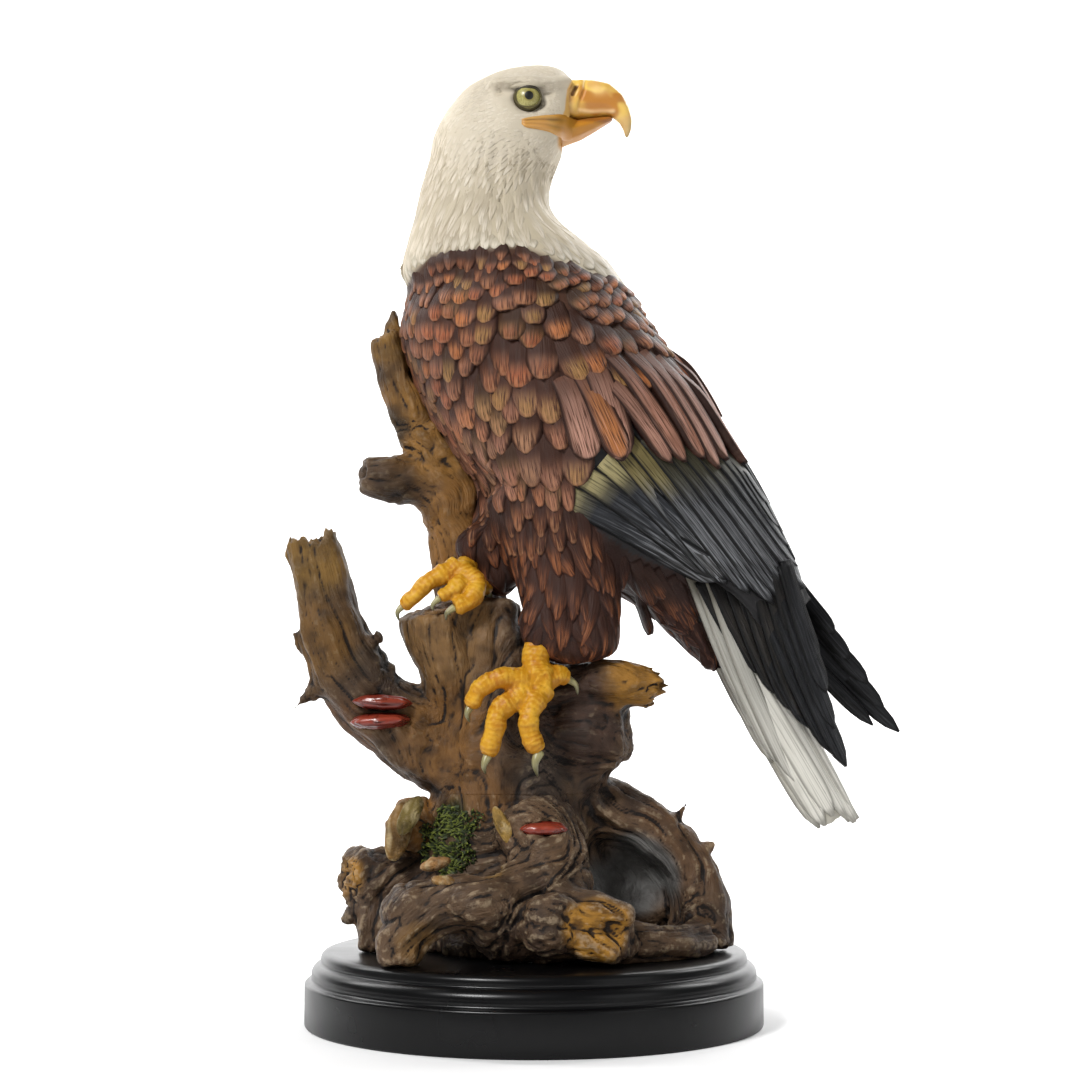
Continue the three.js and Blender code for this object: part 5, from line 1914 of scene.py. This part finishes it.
# Hollows cut in the wood: the middle, the half sizes, and the turn about the Y axis in degrees.
HOLLOWS = [
    ((42, -26, 63), (29, 34, 14.5), 44),  # beside the arch
    ((27, -83, 49), (21, 13, 10), 27),  # the scoop of the broken root in front
    ((71, -40, 47.5), (5, 9, 3.6), 0),  # the ring in the sill
    ((-86, -16, 62), (9, 12, 13), 0),  # the end of the root on the left
    ((-97, -6, 216), (6, 14, 9), -20),  # the notch in the broken branch
    ((61, -26, 147), (8, 6, 4), 10),  # the end of the stub on the right
    ((-16, -52, 66), (13, 10, 6), 20),  # a dish on top of the root in front
    ((-34, -79, 42), (15, 13, 9.5), -10),  # under the bend of the root in front
]
# Swellings added to the wood, in the same terms.
SWELLINGS = [
    ((46, 4, 62), (26, 6, 24), 0),  # the wall at the back of the arch
    ((-10, -52, 50), (24, 16, 17), 12),  # the heart of the root in front
    ((-46, -60, 55), (17, 12, 11), -8),
    ((-22, -64, 58), (18, 10, 9), 6),
    ((6, -70, 50), (12, 10, 13), 20),
    ((10, -34, 70), (18, 14, 14), 0),
    ((36, -26, 148), (18, 10, 9), 4),  # the stub on the right
]
# Ends of limbs that are torn: the place, how far it reaches, which way it points, and the points' length.
BROKEN_ENDS = [
    ((-99, -4, 213), 16, (-0.1, 0, 1), 7),
    ((54, -26, 146), 15, (1, 0, 0.1), 9),
    ((-86, -14, 62), 16, (-1, -0.3, 0.2), 6),
    ((45, -78, 42), 14, (0.8, -0.3, -0.5), 5),
    ((-66, 8, 236), 12, (-1, 0, 0), 5),
    ((-62, 8, 300), 12, (-0.3, 0, 1), 5),
]
# Colours laid over the bark: where, how far they reach, what, and how strongly.
WASHES = [
    ((-100, -3, 200), 30, srgb(134, 101, 50), 0.9),
    ((-94, -8, 165), 30, srgb(113, 81, 40), 0.9),
    ((-74, -6, 155), 17, srgb(42, 36, 29), 0.95),
    ((-78, -6, 130), 24, srgb(94, 61, 32), 0.8),
    ((-45, 8, 262), 42, srgb(136, 97, 46), 0.9),
    ((-30, 8, 215), 36, srgb(131, 92, 46), 0.9),
    ((-60, 6, 262), 14, srgb(58, 47, 35), 0.85),
    ((-62, 3, 236), 18, srgb(71, 54, 37), 0.95),
    ((-62, 9, 298), 20, srgb(142, 104, 49), 0.9),
    ((-38, -20, 165), 34, srgb(118, 88, 52), 0.9),
    ((-38, -26, 125), 32, srgb(112, 78, 40), 0.95),
    ((-24, -30, 100), 22, srgb(104, 72, 38), 0.9),
    ((18, -26, 130), 34, srgb(58, 41, 32), 0.95),
    ((6, -34, 108), 20, srgb(67, 56, 48), 0.9),
    ((0, -46, 80), 26, srgb(100, 77, 56), 0.7),
    ((-55, -12, 88), 20, srgb(129, 88, 40), 0.9),
    ((-82, -14, 64), 13, srgb(157, 113, 48), 0.95),
    ((-62, -12, 50), 18, srgb(81, 61, 45), 0.8),
    ((-46, -72, 40), 15, srgb(140, 104, 55), 0.6),
    ((-16, -56, 66), 11, srgb(154, 117, 52), 0.85),
    ((64, -4, 76), 34, srgb(94, 68, 46), 0.7),
    ((46, -26, 149), 24, srgb(140, 99, 40), 1.0),
    ((-38, -32, 90), 16, srgb(42, 45, 17), 0.9),
]
SCOOP = srgb(179, 128, 48)
SCOOPS = [
    ((27, -76, 49), 19, 0.95), ((-86, -16, 62), 11, 0.8), ((-97, -6, 213), 9, 0.5),
    ((56, -26, 147), 12, 0.7),
]
TORN_WAY = unit((0.85, -0.2, -0.5))  # the way that the grain of torn wood runs
CAVE = srgb(112, 112, 110)


def carved_wood(voxel):
    """The wood's solids and swellings run together, with the hollows cut out of them."""
    knives = [
        bpy.data.objects.new(f"knife{k}", egg(*hollow).mesh("knife")) for k, hollow in enumerate(HOLLOWS)
    ]
    return swollen_copy(WOOD, SWELLINGS, 0.45, voxel, knives)


def splinters(wood, place, reach, way, length, seed):
    """Draws the broken end of a limb out into ragged points."""
    off = wood.points - place
    way = unit(way)
    across = off - (off @ way)[:, None] * way
    teeth = np.abs(layered_noise(across * 2.2 + 30, 6, seed, 2)) ** 0.8
    mask = smoothstep(
        1, 0.45, np.linalg.norm(off, axis=1) / reach,
    ) * smoothstep(-0.2, 0.5, wood.normals() @ way)
    wood.points += ((teeth - 0.35) * length * mask)[:, None] * way
    wood.refresh()


def limb_field(points):
    """The grain's coordinates: how far each place is off its limb's middle, and a slow drift along it."""
    middles, ways = [], []
    for name in WOOD:
        line, _ = centreline(name, 6)
        way = unit(np.gradient(line, axis=0))
        middles.append(line)
        ways.append(way)
    middles, ways = np.concatenate(middles), np.concatenate(ways)
    grain = np.empty_like(points)
    for first in range(0, len(points), 20000):
        p = points[first:first + 20000]
        gap = ((p[:, None] - middles[None]) ** 2).sum(2)
        weight = 1 / (gap + 30) ** 3
        weight /= weight.sum(1, keepdims=True)
        middle, way = weight @ middles, unit(weight @ ways)
        off = p - middle
        off -= 0.9 * (off * way).sum(1, keepdims=True) * way
        grain[first:first + 20000] = off + middle * 0.1
    return grain


WOOD_VOXEL, QUICK_WOOD_VOXEL = 1.1, 1.8


def wood_surface():
    wood = carved_wood(WOOD_VOXEL)
    wood.smooth(9)
    thick = smoothstep(-1.0, -0.35, wood.hollowness(4))
    grain = limb_field(wood.points)
    lumps = 2.0 * layered_noise(wood.points, 26, 81) + 1.2 * layered_noise(wood.points, 11, 84)
    folds = np.abs(layered_noise(grain, 8, 87, 2)) ** 0.75
    creases = np.abs(layered_noise(grain + 40, 3.6, 91, 2)) ** 0.8
    fine = layered_noise(grain, 1.3, 95, 2)
    rough = 0.75 + 0.25 * smoothstep(120, 95, wood.points[:, 2])
    wood.push(thick * (lumps + 3.0 * rough * (folds - 0.25) + 1.5 * rough * (creases - 0.25) + 0.25 * fine))
    for seed, (place, reach, way, length) in enumerate(BROKEN_ENDS):
        splinters(wood, np.array(place, float), reach, way, length, 160 + seed)
    wood.points[:, 2] = np.maximum(wood.points[:, 2], DECK + 0.2)
    return wood, grain


def cave_mask(p):
    """1 on the grey wall at the back of the hollow beside the arch."""
    return smoothstep(0.03, 0.25, near(p * (1, 0.8, 1), (42, -11, 62), 27)) * smoothstep(-46, -28, p[:, 1])


def wood_paint(wood):
    p = wood.points
    tint = np.broadcast_to(BARK, p.shape)
    mottle = layered_noise(p, 12, 101)
    tint = mixed(tint, srgb(66, 50, 38), smoothstep(-0.1, 0.4, mottle))
    for place, reach, colour, strength in WASHES:
        there = near(p, place, reach)
        tint = mixed(tint, colour, strength * smoothstep(0, 0.5, there * (1 + 0.7 * mottle)))
    blotch = layered_noise(p, 6, 104)
    tint = mixed(tint, tint * 0.5, 0.65 * smoothstep(0.0, 0.45, blotch))
    tint = mixed(tint, np.minimum(tint * 1.35, 1), 0.5 * smoothstep(-0.1, -0.5, blotch))
    for place, reach, strength in SCOOPS:
        there = near(p, place, reach)
        tint = mixed(tint, SCOOP * (0.85 + 0.3 * blotch[:, None]), strength * smoothstep(0, 0.3, there))
        streak = layered_noise(p - 0.88 * (p @ TORN_WAY)[:, None] * TORN_WAY, 2.6, 107, 2)
        tint = mixed(tint, srgb(82, 54, 22), 0.8 * smoothstep(0.05, 0.3, streak) * smoothstep(0, 0.3, there))
    tint = tint * (1 - 0.25 * smoothstep(-50, -62, p[:, 0]) * smoothstep(125, 145, p[:, 2]))[:, None]
    return mixed(tint, CAVE * (0.8 + 0.4 * mottle[:, None]), 0.9 * cave_mask(p))


def wood_build(tree):
    # Near-black wash in the hollows, partly painted shade there, and pale dry brush on the ridges, partly a
    # painted highlight.
    washed_and_shaded = use(tree, RECESS_WASH_AND_SHADE, {
        "Colour": attribute(tree, "tint"), "Wash and shade": rgba(srgb(18, 13, 11)), "Brush": rgba(srgb(192, 170, 138)),
        "Hollow": attribute(tree, "hollow", "Fac"), "Reach": 0.26, "Amount": 0.95,
        "Brush amount": attribute(tree, "dry_brush_highlight", "Fac"),
    })
    marks = use(tree, BRUSH_MARKS, {
        "Colour": washed_and_shaded["Colour"], "Shade": rgba(srgb(34, 25, 21)), "Scale": 110.0, "Amount": 0.4,
        "Roughness": 0.5,
    })
    grain = noise(tree, attribute(tree, "grain", "Vector"), 0.9, 4.0)
    height = calc(tree, "ADD", marks["Height"], calc(tree, "MULTIPLY", grain, 1.6))
    return {"Base Color": marks["Colour"], "Roughness": marks["Roughness"], "Height": (height, 0.7)}


WOOD_PAINT = material("driftwood_paint", wood_build, Specular_IOR_Level=SATIN)


def half_of(mesh, height, top):
    """The part of a mesh over or under a height, closed where it is cut."""
    bm = bmesh.new()
    bm.from_mesh(mesh)
    bmesh.ops.bisect_plane(
        bm, geom=bm.verts[:] + bm.edges[:] + bm.faces[:], plane_co=(0, 0, height * MM), plane_no=(0, 0, 1),
        clear_inner=top, clear_outer=not top,
    )
    for cap in bmesh.ops.holes_fill(bm, edges=[e for e in bm.edges if e.is_boundary], sides=0)["faces"]:
        cap.smooth = False
    half = bpy.data.meshes.new("half")
    bm.to_mesh(half)
    bm.free()
    half.materials.append(WOOD_PAINT)
    return half


def dress_wood():
    wood, grain = wood_surface()
    low = smoothstep(116, 84, wood.points[:, 2])
    hollow = wood.hollowness(3) * (0.95 + 0.05 * low) * (1 - 0.9 * cave_mask(wood.points))
    whole = finish_piece("stump", wood, WOOD_PAINT, (), {
        "tint": with_alpha(wood_paint(wood)), "hollow": hollow, "dry_brush_highlight": 0.12 + 0.2 * low, "grain": grain,
    })
    for name, nodes in (("stump_top", "stump_"), ("stump_roots", "root_")):
        ob = bpy.data.objects.new(name, half_of(whole.data, 100, nodes == "stump_"))
        ob.data.name = name
        bpy.context.scene.collection.objects.link(ob)
        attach(ob, "root")
        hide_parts(*(n for n in WOOD if n.startswith(nodes)))
    bpy.data.objects.remove(whole)
    return wood


WOOD_SURFACE = dress_wood()


# ------------------------------------------------------------------ fungi, chips and moss

def fungus_build(tree):
    """Growth rings of dark and light paint, a pale rim that is a painted highlight where it faces up, and
    painted shade underneath, all under a glossy coat.
    """
    marks = use(tree, BRUSH_MARKS, {
        "Colour": attribute(tree, "tint"), "Shade": rgba(srgb(70, 22, 16)), "Scale": 200.0, "Amount": 0.6,
        "Roughness": 0.3,
    })
    return {"Base Color": marks["Colour"], "Roughness": marks["Roughness"], "Height": (marks["Height"], 0.2)}


FUNGUS_PAINT = material("fungus_paint", fungus_build, Coat_Weight=0.2, Coat_Roughness=0.25)
RING = 2.6  # from one growth ring to the next


def dress_fungi():
    for name in ("fungus_upper", "fungus_lower", "fungus_front"):
        shelf = remeshed([name], 0.5, 0.15)
        shelf.smooth(6)
        low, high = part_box(name)
        middle = np.array((low + high) / 2) / MM
        root = middle + (0, (high.y - low.y) / MM / 2, 0)
        reach = np.linalg.norm((shelf.points - root) * (0.75, 1.0, 0.0), axis=1)
        ring = (reach / RING) % 1
        shelf.push(
            0.4 * smoothstep(0, 0.7, ring) * smoothstep(1, 0.85, ring) + 0.3
            * layered_noise(shelf.points, 4, 120, 2)
        )
        rim = smoothstep(0.62, 0.95, reach / reach.max())
        up = shelf.normals()[:, 2]
        tint = mixed(
            np.broadcast_to(srgb(86, 24, 14), shelf.points.shape), srgb(118, 36, 20),
            smoothstep(0.3, 0.8, ring),
        )
        # Painted highlight on the rim where it faces up to the light, and painted shade on the underside.
        tint = mixed(tint, srgb(156, 66, 44), 0.7 * rim * smoothstep(-0.3, 0.7, up))
        tint = mixed(tint, srgb(84, 26, 20), 0.8 * smoothstep(-0.2, -0.8, up))
        finish_piece(f"{name}_painted", shelf, FUNGUS_PAINT, [name], {"tint": with_alpha(tint)})


# Flakes of broken wood: the middle, the half sizes, the turn about Y, and the colour.
CHIPS = [
    ((-58, -20, 84), (5.5, 2.6, 13), 12, srgb(134, 100, 52)),
    ((-53, -24, 91), (4, 2, 9), 28, srgb(112, 96, 48)),
    ((-41, -45, 72), (6.5, 3, 2.6), -14, srgb(158, 116, 70)),
    ((-13, -46, 88), (2.8, 1.4, 8.5), -24, srgb(164, 130, 66)),
    ((-36, -62, 66), (6, 4, 2.4), 10, srgb(150, 112, 62)),
]


def dress_chips():
    chips, tints = [], []
    for k, (place, sizes, turn, colour) in enumerate(CHIPS):
        chip = egg(place, sizes, turn)
        off = chip.points - place
        chip.points += unit(off) * (
            1.1 * np.abs(layered_noise(chip.points * (1.6, 1, 0.5), 4, 130 + k, 2))
        )[:, None]
        streak = layered_noise(chip.points * (1, 1, 0.25), 2.0, 140 + k, 2)
        tint = mixed(np.broadcast_to(colour, off.shape), colour * 0.45, smoothstep(0.0, 0.4, streak))
        chips.append(chip)
        tints.append(mixed(tint, srgb(214, 196, 150), 0.5 * smoothstep(-0.15, -0.5, streak)))
    whole = together(*chips)
    hollow = whole.hollowness()
    finish_piece("wood_chips", whole, WOOD_PAINT, (), {
        "tint": with_alpha(np.concatenate(tints)), "hollow": hollow, "dry_brush_highlight": np.full(len(hollow), 0.3),
        "grain": whole.points,
    })


MOSS_PLACE = (-41, -32, 80)
MOSS_REACH = 24


def moss_build(tree):
    luck = attribute(tree, "luck", "Fac")
    high = attribute(tree, "high", "Fac")
    dark = blended(tree, luck, rgba(srgb(28, 36, 14)), rgba(srgb(44, 54, 20)))
    light = blended(tree, luck, rgba(srgb(64, 84, 26)), rgba(srgb(122, 130, 48)))
    return {"Base Color": blended(tree, masked(tree, high, 0.3, 1.0), dark, light)}


MOSS_PAINT = material("moss_paint", moss_build, Roughness=0.7)


def moss_tree():
    """Stands tufts of moss on a patch, turned and sized at random, as one mesh."""
    tree = bpy.data.node_groups.new("Moss", "GeometryNodeTree")
    sockets = {}
    for name, kind, in_out in (
        ("Geometry", "Geometry", "INPUT"), ("Spacing", "Float", "INPUT"), ("Tuft height", "Float", "INPUT"),
        ("Seed", "Int", "INPUT"), ("Geometry", "Geometry", "OUTPUT"),
    ):
        made = tree.interface.new_socket(name, in_out=in_out, socket_type="NodeSocket" + kind)
        if in_out == "INPUT":
            sockets[name] = made.identifier
    entry = tree.nodes.new("NodeGroupInput").outputs
    spread = node(tree, "GeometryNodeDistributePointsOnFaces", distribute_method="POISSON")
    tree.links.new(entry["Geometry"], spread.inputs["Mesh"])
    tree.links.new(entry["Spacing"], spread.inputs["Distance Min"])
    spread.inputs["Density Max"].default_value = 4.0e6
    tree.links.new(entry["Seed"], spread.inputs["Seed"])
    tuft = node(tree, "GeometryNodeMeshCone", {"Vertices": 5, "Side Segments": 2, "Radius Top": 0.0001})
    tree.links.new(entry["Tuft height"], tuft.inputs["Depth"])
    width = calc(tree, "MULTIPLY", entry["Tuft height"], 0.28)
    tree.links.new(width, tuft.inputs["Radius Bottom"])
    place = split(tree, node(tree, "GeometryNodeInputPosition").outputs[0])[2]
    share = calc(tree, "DIVIDE", place, entry["Tuft height"])
    named = node(tree, "GeometryNodeStoreNamedAttribute", {"Name": "high", "Value": share}, domain="POINT")
    tree.links.new(tuft.outputs["Mesh"], named.inputs["Geometry"])
    lean = node(
        tree, "FunctionNodeRandomValue", {0: (-0.7, -0.7, -3.0), 1: (0.7, 0.7, 3.0)},
        data_type="FLOAT_VECTOR",
    )
    turned = node(tree, "FunctionNodeRotateRotation", rotation_space="LOCAL")
    tree.links.new(spread.outputs["Rotation"], turned.inputs["Rotation"])
    tree.links.new(lean.outputs[0], turned.inputs["Rotate By"])
    size = node(tree, "FunctionNodeRandomValue", {2: 0.5, 3: 1.5}, data_type="FLOAT")
    stood = node(tree, "GeometryNodeInstanceOnPoints")
    tree.links.new(spread.outputs["Points"], stood.inputs["Points"])
    tree.links.new(named.outputs[0], stood.inputs["Instance"])
    tree.links.new(turned.outputs[0], stood.inputs["Rotation"])
    tree.links.new(size.outputs[1], stood.inputs["Scale"])
    luck = node(tree, "FunctionNodeRandomValue", {2: 0.0, 3: 1.0}, data_type="FLOAT")
    lots = node(tree, "GeometryNodeStoreNamedAttribute", {"Name": "luck"}, domain="INSTANCE")
    tree.links.new(stood.outputs[0], lots.inputs["Geometry"])
    tree.links.new(luck.outputs[1], lots.inputs["Value"])
    real = node(tree, "GeometryNodeRealizeInstances")
    tree.links.new(lots.outputs[0], real.inputs["Geometry"])
    painted = node(tree, "GeometryNodeSetMaterial")
    tree.links.new(real.outputs[0], painted.inputs["Geometry"])
    painted.inputs["Material"].default_value = MOSS_PAINT
    leave = tree.nodes.new("NodeGroupOutput")
    tree.links.new(painted.outputs[0], leave.inputs["Geometry"])
    return tree, sockets


def patch_of(surface, place, reach, seed):
    """The faces of a surface round a place, with a ragged edge, as a surface of their own."""
    there = near(surface.points * (1, 1, 0.8), np.array(place) * (1, 1, 0.8), reach)
    wanted = (there > 0.02) & (there + 0.7 * layered_noise(surface.points, 9, seed) > 0.28)
    keep = [f for f in surface.faces if wanted[list(f)].all()]
    used = sorted({v for f in keep for v in f})
    index = {v: k for k, v in enumerate(used)}
    return Surface(surface.points[used], [tuple(index[v] for v in f) for f in keep])


def dress_moss():
    patch = patch_of(WOOD_SURFACE, MOSS_PLACE, MOSS_REACH, 150)
    ob = bpy.data.objects.new("moss_patch", patch.mesh("moss_patch"))
    bpy.context.scene.collection.objects.link(ob)
    tree, sockets = moss_tree()
    modifier = ob.modifiers.new("moss", "NODES")
    modifier.node_group = tree
    modifier[sockets["Spacing"]] = 0.9 * MM
    modifier[sockets["Tuft height"]] = 2.4 * MM
    modifier[sockets["Seed"]] = 5
    evaluated = ob.evaluated_get(bpy.context.evaluated_depsgraph_get())
    mesh = bpy.data.meshes.new_from_object(evaluated)
    mesh.name = "moss"
    mesh.materials.clear()
    mesh.materials.append(MOSS_PAINT)
    mesh.polygons.foreach_set("material_index", [0] * len(mesh.polygons))
    bpy.data.objects.remove(ob)
    moss = bpy.data.objects.new("moss", mesh)
    bpy.context.scene.collection.objects.link(moss)
    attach(moss, "root")


dress_fungi()
dress_chips()
dress_moss()


# ------------------------------------------------------------------ plinth

def lacquer_build(tree):
    marks = use(tree, BRUSH_MARKS, {
        "Colour": rgba(srgb(5, 5, 6)), "Shade": rgba(srgb(3, 3, 4)), "Scale": 25.0, "Amount": 0.6,
        "Roughness": 0.3,
    })
    return {
        "Base Color": marks["Colour"], "Roughness": marks["Roughness"], "Height": (marks["Height"], 0.06),
    }


LACQUER = material("plinth_lacquer_paint", lacquer_build, Specular_IOR_Level=0.25)


def arc(start, end, bulge, count=8):
    """Points of a curve between two, bowed to one side by a share of its length."""
    start, end = np.array(start, float), np.array(end, float)
    t = np.linspace(0, 1, count)[:, None]
    side = np.array([-(end - start)[1], (end - start)[0]])
    return (start + t * (end - start) + 4 * bulge * t * (1 - t) * side).tolist()


def dress_plinth():
    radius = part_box("plinth")[1].x / MM
    top = DECK
    profile = [
        [0, 0], *arc((radius - 1.0, 0), (radius, 1.0), -0.2, 5),
        *arc((radius, top * 0.55), (radius - 1.2, top * 0.59), -0.2, 6),
        *arc((radius - 2.4, top * 0.60), (radius - 2.9, top * 0.66), 0.2, 5),
        *arc((radius - 3.0, top * 0.67), (radius - 6.2, top * 0.83), -0.18, 9),
        *arc((radius - 6.6, top * 0.835), (radius - 6.9, top * 0.88), 0.2, 5),
        *arc((radius - 7.0, top * 0.885), (radius - 9.6, top * 0.99), -0.2, 8), [radius - 11, top], [0, top],
    ]
    sides = 192
    turns = np.linspace(0, 2 * math.pi, sides, endpoint=False)
    points, faces = [(0, 0, 0)], []
    rows = profile[1:-1]
    for r, z in rows:
        points += [(r * math.cos(a), r * math.sin(a), z) for a in turns]
    points.append((0, 0, top))
    for i in range(sides):
        j = (i + 1) % sides
        faces.append((0, 1 + i, 1 + j))
        for k in range(len(rows) - 1):
            a, b = 1 + k * sides, 1 + (k + 1) * sides
            faces.append((a + i, b + i, b + j, a + j))
        last = 1 + (len(rows) - 1) * sides
        faces.append((len(points) - 1, last + j, last + i))
    turned = facing_out(Surface(np.array(points, float), faces))
    finish_piece("plinth_turned", turned, LACQUER, ["plinth"])


dress_plinth()


# ------------------------------------------------------------------ stage, light and camera

def plain(name, colour, **constants):
    return material(name, lambda tree: {}, **{"Base_Color": rgba(colour), **constants})


def sweep():
    """A pale floor that curves up into a backdrop behind the statue."""
    turn = [(1.6 + 1.2 * math.sin(a), 1.2 - 1.2 * math.cos(a)) for a in np.linspace(0, math.pi / 2, 17)]
    profile = [(-6.0, 0.0), *turn, (2.8, 6.0)]
    width = 6.0
    points = [(side * width, y, z) for y, z in profile for side in (-1, 1)]
    faces = [(2 * k, 2 * k + 1, 2 * k + 3, 2 * k + 2) for k in range(len(profile) - 1)]
    mesh = bpy.data.meshes.new("sweep")
    mesh.from_pydata(points, [], faces)
    mesh.polygons.foreach_set("use_smooth", np.ones(len(faces), bool))
    mesh.materials.append(plain("pale_floor", (0.9, 0.9, 0.9), Roughness=0.8))
    ob = bpy.data.objects.new("sweep", mesh)
    bpy.context.scene.collection.objects.link(ob)


def lamp(name, place, target, size, power):
    light = bpy.data.lights.new(name, "AREA")
    light.size = size
    light.energy = power
    ob = bpy.data.objects.new(name, light)
    ob.location = place
    ob.rotation_euler = (Vector(target) - Vector(place)).to_track_quat("-Z", "Y").to_euler()
    bpy.context.scene.collection.objects.link(ob)


# Each lamp's name, place, target, size and power.
MIDDLE = (0, 0, 0.22)
LAMPS = [
    ("key", (-0.75, -1.1, 1.25), MIDDLE, 0.38, 26),
    ("fill", (1.2, -1.0, 0.7), MIDDLE, 0.9, 3),
    ("rim", (0.6, 1.0, 1.1), MIDDLE, 0.7, 7),
    ("backdrop_left", (-1.6, 1.0, 1.6), (-0.6, 2.8, 0.4), 1.2, 80),
    ("backdrop_right", (1.6, 1.0, 1.6), (0.6, 2.8, 0.4), 1.2, 80),
]


def stage_and_light():
    sweep()
    world = bpy.data.worlds.new("studio")
    world.use_nodes = True
    world.node_tree.nodes["Background"].inputs["Color"].default_value = (1, 1, 1, 1)
    world.node_tree.nodes["Background"].inputs["Strength"].default_value = 0.14
    bpy.context.scene.world = world
    for row in LAMPS:
        lamp(*row)


SENSOR, FOCAL_LENGTH = 36, 75.8
CAMERA_PLACE = (0.0026, -1.0, 0.15)
CAMERA_RISE = 3.44  # degrees above level


def camera():
    lens = bpy.data.cameras.new("camera")
    lens.sensor_width = SENSOR
    lens.lens = FOCAL_LENGTH
    ob = bpy.data.objects.new("camera", lens)
    ob.location = CAMERA_PLACE
    ob.rotation_euler = (math.radians(90 + CAMERA_RISE), 0, 0)
    bpy.context.scene.collection.objects.link(ob)
    bpy.context.scene.camera = ob
    bpy.context.scene.view_settings.view_transform = "Standard"


stage_and_light()
camera()
